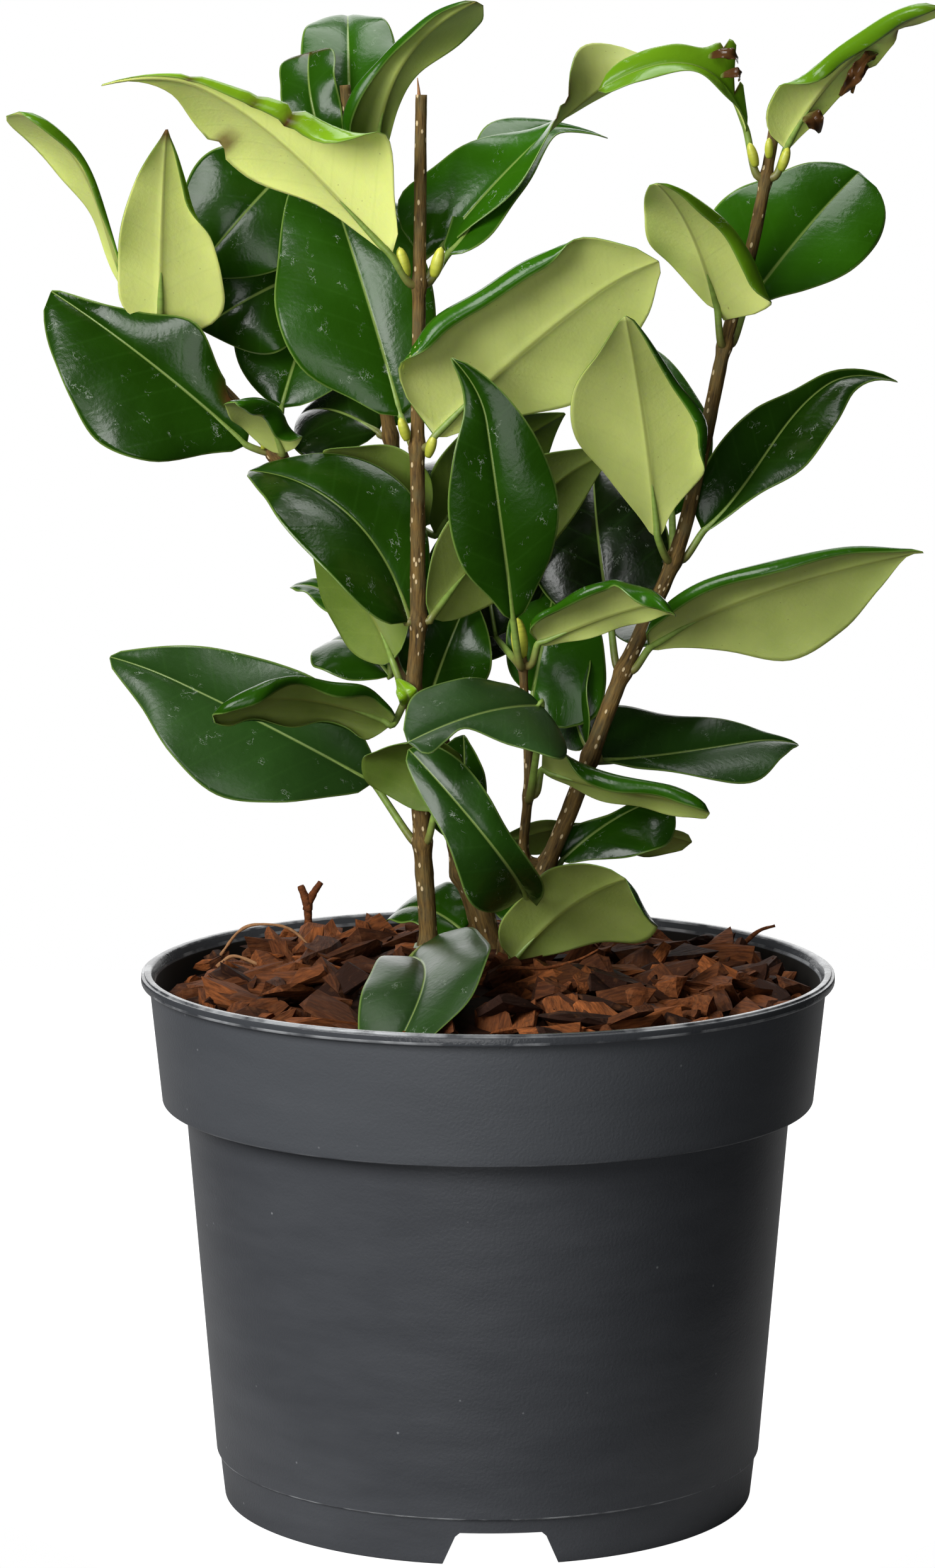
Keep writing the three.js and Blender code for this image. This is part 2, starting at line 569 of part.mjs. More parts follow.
// The footprint's middle goes to the origin, with the pot standing on z = 0
const box = new THREE.Box3().setFromObject(plant);
const middle = box.getCenter(new THREE.Vector3());
plant.position.set(-middle.x, -middle.y, 0);
plant.updateMatrixWorld(true);

export default plant;
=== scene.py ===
# %% [markdown]
# # A potted Japanese privet
# A young privet with thick, glossy, folded leaves stands in a grey nursery pot filled with bark mix. The
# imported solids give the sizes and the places. This lesson grows the visible plant from the same stems and
# joints, leaf by leaf, and dresses the pot and the bark around it.

import math
from functools import partial

import bmesh
import bpy
import numpy as np
from mathutils import Euler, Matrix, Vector, noise


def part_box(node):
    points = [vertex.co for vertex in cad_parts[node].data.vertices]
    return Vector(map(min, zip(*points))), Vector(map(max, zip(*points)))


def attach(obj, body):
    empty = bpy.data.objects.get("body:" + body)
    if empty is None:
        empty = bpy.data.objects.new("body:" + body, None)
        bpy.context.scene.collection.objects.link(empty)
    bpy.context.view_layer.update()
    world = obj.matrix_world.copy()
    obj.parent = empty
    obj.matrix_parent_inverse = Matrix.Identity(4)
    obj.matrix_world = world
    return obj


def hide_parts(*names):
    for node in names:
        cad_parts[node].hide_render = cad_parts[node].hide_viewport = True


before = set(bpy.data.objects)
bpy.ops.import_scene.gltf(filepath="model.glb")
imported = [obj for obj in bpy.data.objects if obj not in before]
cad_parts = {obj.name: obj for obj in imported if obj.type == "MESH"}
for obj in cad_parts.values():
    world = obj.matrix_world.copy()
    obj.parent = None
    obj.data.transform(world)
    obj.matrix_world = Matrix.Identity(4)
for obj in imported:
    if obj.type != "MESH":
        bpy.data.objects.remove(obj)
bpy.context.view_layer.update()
print("packed nodes:", len(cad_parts))

# %% [markdown]
# ## Places and helpers
# All plant sizes are in millimetres from the pot's own axis, at the level of its foot. One function turns
# them into the metres of the shared frame. Meshes are collected as lists of points, faces and named values
# per point, because a plant is many small shapes that end up in a few objects.

# %% Frame, points and meshes
pot_low, pot_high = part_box("pot")
AXIS = np.array([(pot_low.x + pot_high.x) / 2, (pot_low.y + pot_high.y) / 2, 0.0])
MM = 0.001
# Blender's own noise starts from the clock unless it gets a seed too
SEED = 12
rng = np.random.default_rng(SEED)
noise.seed_set(SEED)


def metres(points):
    """Millimetres from the pot's axis, as metres in the shared frame."""
    return np.asarray(points, float) * MM + AXIS


def unit(vector):
    vector = np.asarray(vector, float)
    return vector / np.linalg.norm(vector)


class Shape:
    """Points, faces, a material number per face and named values per point."""

    def __init__(self):
        self.points, self.faces, self.slots, self.values = [], [], [], {}

    def add(self, points, faces, slot=0, **values):
        start = sum(len(p) for p in self.points)
        self.points.append(np.asarray(points, float))
        self.faces += [[i + start for i in face] for face in faces]
        self.slots += list(slot) if np.ndim(slot) else [slot] * len(faces)
        for name, value in values.items():
            size = (len(points), 3) if np.ndim(value) == 2 else (len(points),)
            self.values.setdefault(name, []).append(np.broadcast_to(value, size))

    def object(self, name, *materials, smooth=True):
        mesh = bpy.data.meshes.new(name)
        mesh.from_pydata(metres(np.concatenate(self.points)).tolist(), [], self.faces)
        for key, parts in self.values.items():
            value = np.concatenate(parts).astype(np.float32)
            kind, field = ("FLOAT", "value") if value.ndim == 1 else ("FLOAT_VECTOR", "vector")
            mesh.attributes.new(key, kind, "POINT").data.foreach_set(field, value.ravel())
        for material in materials:
            mesh.materials.append(material)
        mesh.polygons.foreach_set("material_index", self.slots)
        mesh.polygons.foreach_set("use_smooth", [smooth] * len(self.faces))
        mesh.update()
        piece = bpy.data.objects.new(name, mesh)
        bpy.context.scene.collection.objects.link(piece)
        return piece


def settle(piece, slot, *nodes):
    """A finished piece rides on the one rigid body and stands for its solids; its slot is not used."""
    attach(piece, "root")
    if nodes:
        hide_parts(*nodes)


print("pot axis in metres:", AXIS.round(4).tolist())

# %% [markdown]
# ## The camera
# The lip, the collar's edge and the foot seam are circles on the real pot and ellipses in the picture. Fitted
# together they give a camera 1.2 m away, level with the top leaves and looking slightly down, with a long
# lens.

# %% Camera
CAMERA_PLACE = (-5, -1200, 355)
CAMERA_PITCH = 8.43
LENS_MM = 114.03
SENSOR_MM = 36

lens = bpy.data.cameras.new("camera")
lens.sensor_fit = "VERTICAL"
lens.sensor_height = SENSOR_MM
lens.lens = LENS_MM
camera = bpy.data.objects.new("camera", lens)
camera.location = metres(CAMERA_PLACE)
camera.rotation_euler = Euler((math.radians(90 - CAMERA_PITCH), 0, 0))
bpy.context.scene.collection.objects.link(camera)
bpy.context.scene.camera = camera
print("camera at", [round(c, 3) for c in camera.location])

# %% [markdown]
# ## The studio
# The plant was shown on white. A flat white floor glows for the eye alone and itself reflects only mid grey,
# so that the foot of the pot stays dark. One soft lamp stands close at the left front, a weak one in front,
# one overhead and one behind. The front stays darker, which keeps the leaves deep green, because a glossy
# leaf that faces the viewer mirrors whatever is there.


# %% Colours and shader nodes
def colour(hex_value):
    """An sRGB hex colour as the linear colour that shaders use."""
    channels = [int(hex_value[i:i + 2], 16) / 255 for i in (1, 3, 5)]
    return [c / 12.92 if c <= 0.04045 else ((c + 0.055) / 1.055) ** 2.4 for c in channels] + [1.0]


def feed(made, feeds):
    """Gives each input, by name or in order, a value or a link from a socket."""
    for key, value in feeds.items() if isinstance(feeds, dict) else enumerate(feeds):
        named = [s for s in made.inputs if s.enabled and s.name == key]
        socket = named[0] if named else made.inputs[key]
        if isinstance(value, bpy.types.NodeSocket):
            made.id_data.links.new(value, socket)
        else:
            socket.default_value = value


def node(tree, kind, feeds, output=None, **settings):
    """Adds a node with its settings and links, and gives its output."""
    made = tree.nodes.new("ShaderNode" + kind)
    for key, value in settings.items():
        setattr(made, key, value)
    feed(made, feeds)
    return made.outputs[output] if output else [s for s in made.outputs if s.enabled][0]


def material(name, **settings):
    """A new material, what adds nodes to it, and its shader with constant values set on the shader itself."""
    made = bpy.data.materials.new(name)
    made.use_nodes = True
    shader = made.node_tree.nodes["Principled BSDF"]
    for key, value in settings.items():
        shader.inputs[key.replace("_", " ")].default_value = value
    return made, partial(node, made.node_tree), shader


print("helpers for colours, nodes and materials are ready")

# %% Floor and lamps
FLOOR_FRONT, FLOOR_BACK = -78, 700
FRONT_HALF_WIDTH, BACK_HALF_WIDTH = 84, 640
FLOOR_ROWS = 8

# White acrylic, lit through from below, so that the floor shows no shadow
floor_white, add, shader = material("white_acrylic_floor", Base_Color=colour("#a0a0a0"), Roughness=0.9,
                                    Specular_IOR_Level=0.1, Emission_Color=colour("#ffffff"))
seen = add("LightPath", {}, "Is Camera Ray")
feed(shader, {"Emission Strength": seen})
floor_shape = Shape()
floor_points = []
for side in (-1, 1):
    for share in np.linspace(0, 1, FLOOR_ROWS):
        half = FRONT_HALF_WIDTH + (BACK_HALF_WIDTH - FRONT_HALF_WIDTH) * share
        floor_points.append((side * half, FLOOR_FRONT + (FLOOR_BACK - FLOOR_FRONT) * share, 0))
strips = [(i, i + FLOOR_ROWS, i + FLOOR_ROWS + 1, i + 1) for i in range(FLOOR_ROWS - 1)]
floor_shape.add(floor_points, strips)
floor = floor_shape.object("acrylic_floor", floor_white)


def lamp(name, place, aim, size, watts):
    """A square soft lamp at a place in millimetres, turned to face another place."""
    light = bpy.data.lights.new(name, "AREA")
    light.size = size * MM
    light.energy = watts
    holder = bpy.data.objects.new(name, light)
    holder.location = metres(place)
    holder.rotation_euler = Vector(np.subtract(aim, place)).to_track_quat("-Z", "Y").to_euler()
    bpy.context.scene.collection.objects.link(holder)


MIDDLE = (0, 0, 230)
lamp("lamp_key", (-600, -640, 600), MIDDLE, 500, 11)
lamp("lamp_front", (-240, -1480, 120), MIDDLE, 700, 6)
lamp("lamp_top", (60, 200, 1200), MIDDLE, 700, 9)
lamp("lamp_back", (-40, 1050, 560), MIDDLE, 1000, 6)

world = bpy.data.worlds.new("studio_air")
bpy.context.scene.world = world
world.use_nodes = True
air = world.node_tree
dim = node(air, "Background", {"Color": colour("#f2f4f6"), "Strength": 0.03})
bright = node(air, "Background", {"Color": colour("#ffffff"), "Strength": 1.0})
seen = node(air, "LightPath", {}, "Is Camera Ray")
mixed = node(air, "MixShader", (seen, dim, bright))
air.links.new(mixed, air.nodes["World Output"].inputs["Surface"])
bpy.context.scene.view_settings.view_transform = "Standard"

# %% [markdown]
# ## Leaf finishes
# A privet leaf is thick and leathery. Its upper side has a waxy skin that gives broad soft highlights, a pale
# midrib, a thin light margin and dried splashes of water. The underside has no wax, so it is matt and yellow
# green. Each blade carries its own measures in millimetres (along the midrib, across it, in from the margin),
# and the finishes are drawn from those, so a line keeps its true width on every leaf.

# %% Waxy upper side
def leaf_measures(add):
    """The named values of the blade, and a place on it in millimetres for textures."""
    keys = ("across", "edge", "along", "rib", "tone", "burn", "dust", "seed")
    read = {k: add("Attribute", {}, "Fac", attribute_name=k) for k in keys}
    read["place"] = add("CombineXYZ", (read["along"], read["across"], read["seed"]))
    # Side veins leave the midrib every 7 mm and lean towards the tip
    apart = add("Math", (read["across"],), operation="ABSOLUTE")
    slant = add("Math", (apart, -0.7, read["along"]), operation="MULTIPLY_ADD")
    beat = add("Math", (slant, 3.5), operation="PINGPONG")
    read["vein"] = add("MapRange", (beat, 0.0, 0.7, 1.0, 0.0), interpolation_type="SMOOTHSTEP")
    return read


# The wax gives a soft highlight, with clearer and duller patches
upper_skin, add, shader = material("waxy_leaf_upper_side", IOR=1.45, Specular_IOR_Level=0.28)
on = leaf_measures(add)
clouds = add("TexNoise", {"Vector": on["place"], "Scale": 0.07, "Detail": 3.0})
# A leaf's tone lightens or darkens its green: partly its own colour, partly painted light and shade
light = add("Math", (clouds, 0.5, on["tone"]), operation="MULTIPLY_ADD")
light = add("MapRange", (light, -0.2, 1.3))
green = add("Mix", {"Factor": light, "A": colour("#091302"), "B": colour("#306607")}, data_type="RGBA")
young = add("MapRange", (on["tone"], 0.75, 1.2))
faint = add("Math", (on["vein"], 0.02), operation="MULTIPLY")
rib = add("MapRange", (on["rib"], 0.3, 0.8, 0.6, 0.0))
margin = add("MapRange", (on["edge"], 0.15, 0.55, 0.6, 0.0))
for share, tint in ((young, "#7fa81c"), (faint, "#5f9a3c"), (rib, "#8aa052"), (margin, "#7f9c4a")):
    green = add("Mix", {"Factor": share, "A": green, "B": colour(tint)}, data_type="RGBA")
print("upper side nodes so far:", len(upper_skin.node_tree.nodes))

# %% Dried splashes and dry edges
# Lime left by drops of water: broken rims about a third of a millimetre wide, gathered in patches
long = add("VectorMath", (on["place"], (0.6, 1.0, 1.0)), operation="MULTIPLY")
rims = add("TexNoise", {"Vector": long, "Scale": 0.3, "Detail": 4.0, "Roughness": 0.7})
rims = add("Math", (rims, 0.5), operation="SUBTRACT")
rims = add("Math", (rims,), operation="ABSOLUTE")
streaks = add("MapRange", (rims, 0.002, 0.01, 0.45, 0.0))
patches = add("TexNoise", {"Vector": on["place"], "Scale": 0.22, "Detail": 2.0})
patches = add("MapRange", (patches, 0.6, 0.7))
lime = add("Math", (streaks, patches), operation="MULTIPLY")
# Pale grey: real dust, and a painted grey sheen on low leaves that face the top lamp
dust_and_sheen_share = add("Math", (on["dust"], 0.35), operation="MULTIPLY")
for share, tint in ((lime, "#c9d2c4"), (dust_and_sheen_share, "#8b988c"), (on["burn"], "#4a3018")):
    green = add("Mix", {"Factor": share, "A": green, "B": colour(tint)}, data_type="RGBA")
feed(shader, {"Base Color": green})
wax = add("MapRange", (clouds, 0.3, 0.7, 0.16, 0.28))
wax = add("Math", (lime, 0.8, wax), operation="MULTIPLY_ADD")
wax = add("Math", (on["dust"], 1.2, wax), operation="MULTIPLY_ADD")
feed(shader, {"Roughness": wax})
skin = add("TexNoise", {"Vector": on["place"], "Scale": 0.7, "Detail": 3.0})
relief = add("Math", (on["vein"], -0.12, skin), operation="MULTIPLY_ADD")
bump = add("Bump", {"Strength": 0.6, "Distance": 0.00012, "Height": relief})
feed(shader, {"Normal": bump})
print("upper side nodes:", len(upper_skin.node_tree.nodes))

# %% Matt underside
# No wax below, so the light spreads evenly and the veins stand out only a little. Some light comes through
# the half millimetre of leaf, which warms the shaded ones.
under_skin, add, shader = material("matt_leaf_underside", Roughness=0.55, IOR=1.4, Specular_IOR_Level=0.3,
                                   Subsurface_Weight=0.5, Subsurface_Scale=0.0006,
                                   Subsurface_Radius=(0.8, 1.0, 0.2))
on = leaf_measures(add)
clouds = add("TexNoise", {"Vector": on["place"], "Scale": 0.06, "Detail": 3.0})
# A leaf's tone lightens or darkens the underside too: partly its own colour, partly painted light and shade
light = add("Math", (clouds, 0.4, on["tone"]), operation="MULTIPLY_ADD")
light = add("MapRange", (light, 0.15, 1.3))
pale = add("Mix", {"Factor": light, "A": colour("#46620c"), "B": colour("#dbe288")}, data_type="RGBA")
faint = add("Math", (on["vein"], 0.05), operation="MULTIPLY")
rib = add("MapRange", (on["rib"], 0.3, 1.0, 0.55, 0.0))
pores = add("TexVoronoi", {"Vector": on["place"], "Scale": 0.35, "Randomness": 1.0})
pores = add("MapRange", (pores, 0.03, 0.07, 0.5, 0.0))
for share, tint in ((faint, "#8da04a"), (rib, "#747a34"), (pores, "#6a6030"), (on["burn"], "#6b4a26")):
    pale = add("Mix", {"Factor": share, "A": pale, "B": colour(tint)}, data_type="RGBA")
feed(shader, {"Base Color": pale})
felt = add("TexNoise", {"Vector": on["place"], "Scale": 1.2, "Detail": 2.0})
felt = add("Math", (on["vein"], 0.2, felt), operation="MULTIPLY_ADD")
bump = add("Bump", {"Strength": 0.3, "Distance": 0.0002, "Height": felt})
feed(shader, {"Normal": bump})
print("underside nodes:", len(under_skin.node_tree.nodes))

# %% Leaf stalks and buds
# Stalks are young green wood, smooth and a little waxy, browner towards the stem. Bud scales are yellow
# green, paler at the closed tip. Both change colour along their length, so one loop makes the two.
young_skins = []
for name, roughness, (start, end), low, high, mottled, scale in (
        ("green_leaf_stalk", 0.45, (1.0, 9.0), "#6f5f34", "#7f9a44", "#4f5a24", 0.8),
        ("young_bud_scale", 0.4, (0.0, 6.0), "#a3a832", "#d2d350", "#7c8f2a", 1.0)):
    made, add, shader = material(name, Roughness=roughness)
    on = leaf_measures(add)
    far = add("MapRange", (on["along"], start, end))
    tint = add("Mix", {"Factor": far, "A": colour(low), "B": colour(high)}, data_type="RGBA")
    mottle = add("TexNoise", {"Vector": on["place"], "Scale": scale, "Detail": 2.0})
    mottle = add("MapRange", (mottle, 0.4, 0.8, 0.0, 0.5))
    tint = add("Mix", {"Factor": mottle, "A": tint, "B": colour(mottled)}, data_type="RGBA")
    feed(shader, {"Base Color": tint})
    young_skins.append(made)
stalk_skin, bud_skin = young_skins
print("young finishes:", [made.name for made in young_skins])

# %% [markdown]
# ## Stems
# Four stems rise from one root. Each was cut back, so its tip is a bare stub. The bark is thin and ridged,
# with pale raised dots, the pores that woody stems breathe through. A tube along a smooth curve would do, but
# real stems swell at each joint and are never round, so the rings are shaped one by one.

# %% Bark and cut wood
# Thin bark, split lengthwise: rough, brown in the cracks, paler on the ridges, with pale pores
bark_skin, add, shader = material("ridged_young_bark", Roughness=0.75, Specular_IOR_Level=0.25)
place = add("Attribute", {}, "Vector", attribute_name="grain")
drawn = add("VectorMath", (place, (1.3, 1.3, 0.16)), operation="MULTIPLY")
ridges = add("TexNoise", {"Vector": drawn, "Scale": 1.0, "Detail": 4.0, "Roughness": 0.6})
lit = add("MapRange", (ridges, 0.3, 0.7))
bark = add("Mix", {"Factor": lit, "A": colour("#362611"), "B": colour("#7d6231")}, data_type="RGBA")
mottle = add("TexNoise", {"Vector": place, "Scale": 0.25, "Detail": 3.0})
mottle = add("MapRange", (mottle, 0.45, 0.75, 0.0, 0.6))
spread = add("VectorMath", (place, (0.55, 0.55, 0.3)), operation="MULTIPLY")
pores = add("TexVoronoi", {"Vector": spread, "Scale": 1.0, "Randomness": 0.9})
pores = add("MapRange", (pores, 0.17, 0.23, 0.9, 0.0))
for share, tint in ((mottle, "#5c5637"), (pores, "#cdb78e")):
    bark = add("Mix", {"Factor": share, "A": bark, "B": colour(tint)}, data_type="RGBA")
feed(shader, {"Base Color": bark})
relief = add("Math", (pores, 0.6, ridges), operation="MULTIPLY_ADD")
bump = add("Bump", {"Strength": 0.8, "Distance": 0.0004, "Height": relief})
feed(shader, {"Normal": bump})

# Wood where a stem was cut, dried to a dull tan
cut_wood, add, shader = material("dry_cut_wood", Roughness=0.8)
place = add("Attribute", {}, "Vector", attribute_name="grain")
rings = add("TexNoise", {"Vector": place, "Scale": 1.5, "Detail": 3.0})
cut = add("Mix", {"Factor": rings, "A": colour("#6d4529"), "B": colour("#b08354")}, data_type="RGBA")
feed(shader, {"Base Color": cut})
print("bark finishes made")

# %% Stem lines
GROUND = 132
STEMS = {
    "front": ([(-14, -6, 132), (-15, -6, 149), (-16, -7, 164), (-18, -8, 198), (-17, -8, 218), (-17, -8, 260),
               (-16.5, -8, 299), (-16, -8, 344)], (2.3, 1.4)),
    "right": ([(4, 0, 132), (7, 0, 144), (11, 0, 150), (19, 0, 168), (25, 0, 184), (33, 0, 205), (45, 0, 232),
               (51, 0, 255), (57, 0, 284), (63, 0, 306), (66.5, 0, 324), (68.5, 0, 336)], (2.3, 1.4)),
    "left": ([(1, 8, 132), (-2.5, 8, 146), (-6, 8.5, 155), (-8, 9, 165), (-20, 11, 203), (-25, 12, 211),
              (-39, 14, 235), (-52, 16, 257), (-58, 17, 264), (-83, 20, 291)], (3.6, 1.6)),
    "back": ([(2, 22, 132), (-4, 22, 150), (-9, 22, 170), (-17, 24, 220), (-24, 26, 260), (-31, 28, 300),
              (-35, 28, 346)], (2.2, 1.3)),
}
SHOOT_LINE = [(14, 0, 157), (9, -1, 160), (9.7, -5, 175), (9.7, -6, 186), (8.7, -7, 202), (8, -7, 214)]
SHOOT_RADIUS = (1.3, 1.0)
CURVE_STEPS = 24


def smooth_line(points, step):
    """Points at an even step along a smooth curve through the given ones."""
    points = np.asarray(points, float)
    ends = np.vstack([2 * points[0] - points[1], points, 2 * points[-1] - points[-2]])
    fine = []
    for a, b, c, d in zip(ends, ends[1:], ends[2:], ends[3:]):
        for u in np.linspace(0, 1, CURVE_STEPS, endpoint=False):
            fine.append(0.5 * (2 * b + (c - a) * u + (2 * a - 5 * b + 4 * c - d) * u ** 2
                               + (3 * b - a - 3 * c + d) * u ** 3))
    fine = np.array(fine + [points[-1]])
    run = np.concatenate([[0], np.cumsum(np.linalg.norm(np.diff(fine, axis=0), axis=1))])
    even = np.linspace(0, run[-1], max(2, int(run[-1] / step) + 1))
    return np.stack([np.interp(even, run, fine[:, k]) for k in range(3)], axis=1), even


def tube(shape, line, run, radii, sides, slot=0, cap_slot=None, **values):
    """A closed tube. Its radii are one per ring, or one per ring and side."""
    radii = np.asarray(radii, float)
    radii = radii[:, None] * np.ones(sides) if radii.ndim == 1 else radii
    tangents = np.gradient(line, axis=0)
    side = np.array([1.0, 0.0, 0.0]) if abs(unit(tangents[0])[0]) < 0.9 else np.array([0.0, 1.0, 0.0])
    turns = np.linspace(0, 2 * math.pi, sides, endpoint=False)
    points, laid = [], []
    for centre, tangent, radius, done in zip(line, tangents, radii, run):
        tangent = unit(tangent)
        side = unit(side - side.dot(tangent) * tangent)
        other = np.cross(tangent, side)
        ring = np.cos(turns)[:, None] * side + np.sin(turns)[:, None] * other
        points.append(centre + radius[:, None] * ring)
        laid.append(np.stack([radius * np.cos(turns), radius * np.sin(turns), np.full(sides, done)], axis=1))
    count = len(line)
    points = np.concatenate(points + [line[:1], line[-1:]])
    laid = np.concatenate(laid + [[[0, 0, run[0]]], [[0, 0, run[-1]]]])
    faces = []
    for i in range(count - 1):
        for k in range(sides):
            a, b = i * sides + k, i * sides + (k + 1) % sides
            faces.append((a, b, b + sides, a + sides))
    wall = len(faces)
    for k in range(sides):
        faces.append(((k + 1) % sides, k, count * sides))
        top = (count - 1) * sides
        faces.append((top + k, top + (k + 1) % sides, count * sides + 1))
    slots = [slot] * wall + [slot if cap_slot is None else cap_slot] * (len(faces) - wall)
    shape.add(points, faces, slots, grain=laid, **values)


print("stem lines:", {name: len(points) for name, (points, _) in STEMS.items()})

# %% Stem meshes
FLARE = 0.35
FLARE_HEIGHT = 10
JOINT_SWELL, JOINT_HALF_LENGTH = 0.28, 1.8
RIDGE_DEPTH = 0.09
STEM_SIDES = 20
RING_STEP = 1.0
JOINTS = {
    "front": (138, 164, 200, 218, 260, 299),
    "right": (138, 149, 157, 184, 205, 232, 284, 324),
    "left": (154, 210, 257, 288),
    "back": (210, 238, 260, 300, 325, 338),
}
SHOOT_SWELLS = (175, 207)
SPLINTER = np.array([(-0.4, 0, -2), (-0.6, 0, 1), (-0.9, 0, 4)])


def bark_radii(line, run, radius, joints, seed):
    """Ring radii with taper, root flare, swollen joints and lengthwise ridges."""
    share = run / run[-1]
    rings = radius[0] + (radius[1] - radius[0]) * share
    foot = np.clip(1 - (line[:, 2] - GROUND) / FLARE_HEIGHT, 0, 1)
    rings = rings * (1 + FLARE * foot ** 2)
    for joint in joints:
        rings = rings * (1 + JOINT_SWELL * np.exp(-((line[:, 2] - joint) / JOINT_HALF_LENGTH) ** 2))
    turns = np.linspace(0, 2 * math.pi, STEM_SIDES, endpoint=False)
    waves = np.array([[noise.noise(Vector((1.6 * math.cos(a), 1.6 * math.sin(a), done * 0.1 + seed))) +
                       0.6 * noise.noise(Vector((4 * math.cos(a), 4 * math.sin(a), done * 0.35 + seed)))
                       for a in turns] for done in run])
    return rings[:, None] * (1 + RIDGE_DEPTH * waves)


for seed, (name, (points, radius)) in enumerate(STEMS.items()):
    line, run = smooth_line(points, RING_STEP)
    stem = Shape()
    tube(stem, line, run, bark_radii(line, run, radius, JOINTS[name], 10 * seed), STEM_SIDES, 0, 1)
    if name == "front":
        splinter, run = smooth_line(line[-1] + SPLINTER, 0.6)
        tube(stem, splinter, run, np.linspace(0.6, 0.1, len(run)), 8, 1, 1)
    settle(stem.object(f"bark_{name}", bark_skin, cut_wood), "bark", f"stem_{name}")
line, run = smooth_line(SHOOT_LINE, RING_STEP)
twig = Shape()
tube(twig, line, run, bark_radii(line, run, SHOOT_RADIUS, SHOOT_SWELLS, 70), STEM_SIDES, 0, 1)
settle(twig.object("bark_side_shoot", bark_skin, cut_wood), "bark")
print("stems:", len(STEMS), "and one side shoot")

# %% [markdown]
# ## Leaves
# Privet leaves stand in pairs, one joint above the other. Each blade here is one sheet over its midrib: it
# runs from foot to tip, arches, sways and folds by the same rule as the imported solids, on a finer grid. Two
# skins, almost half a millimetre apart at the midrib and closer at the margin, make it a real body, with a
# groove for the midrib above and a keel below. The table holds each leaf's place, size and turn.


# %% Leaf table
def leaf(base, tip, face, left=None, right=None, **more):
    """A leaf from the foot of its blade to its tip, its upper side towards face. left and right are its half
    widths from foot to tip, and without them it is an even oval of one width. A roll says which half bends
    under, by how many degrees, from which share of its width and between which shares of the length. A bite
    says where the margin is torn, on which half, how deep and how wide."""
    plain = dict(arch=(3, 3), sway=(0, 0), tail=(0, 0), fold=(12, 12), twist=0, lobe=(0, 0), rolls=(),
                 bites=(), wave=0.6, burn=0.0, dust=0.0, tone=0.1)
    return dict(plain, base=base, tip=tip, face=face, left=left, right=right, **more)
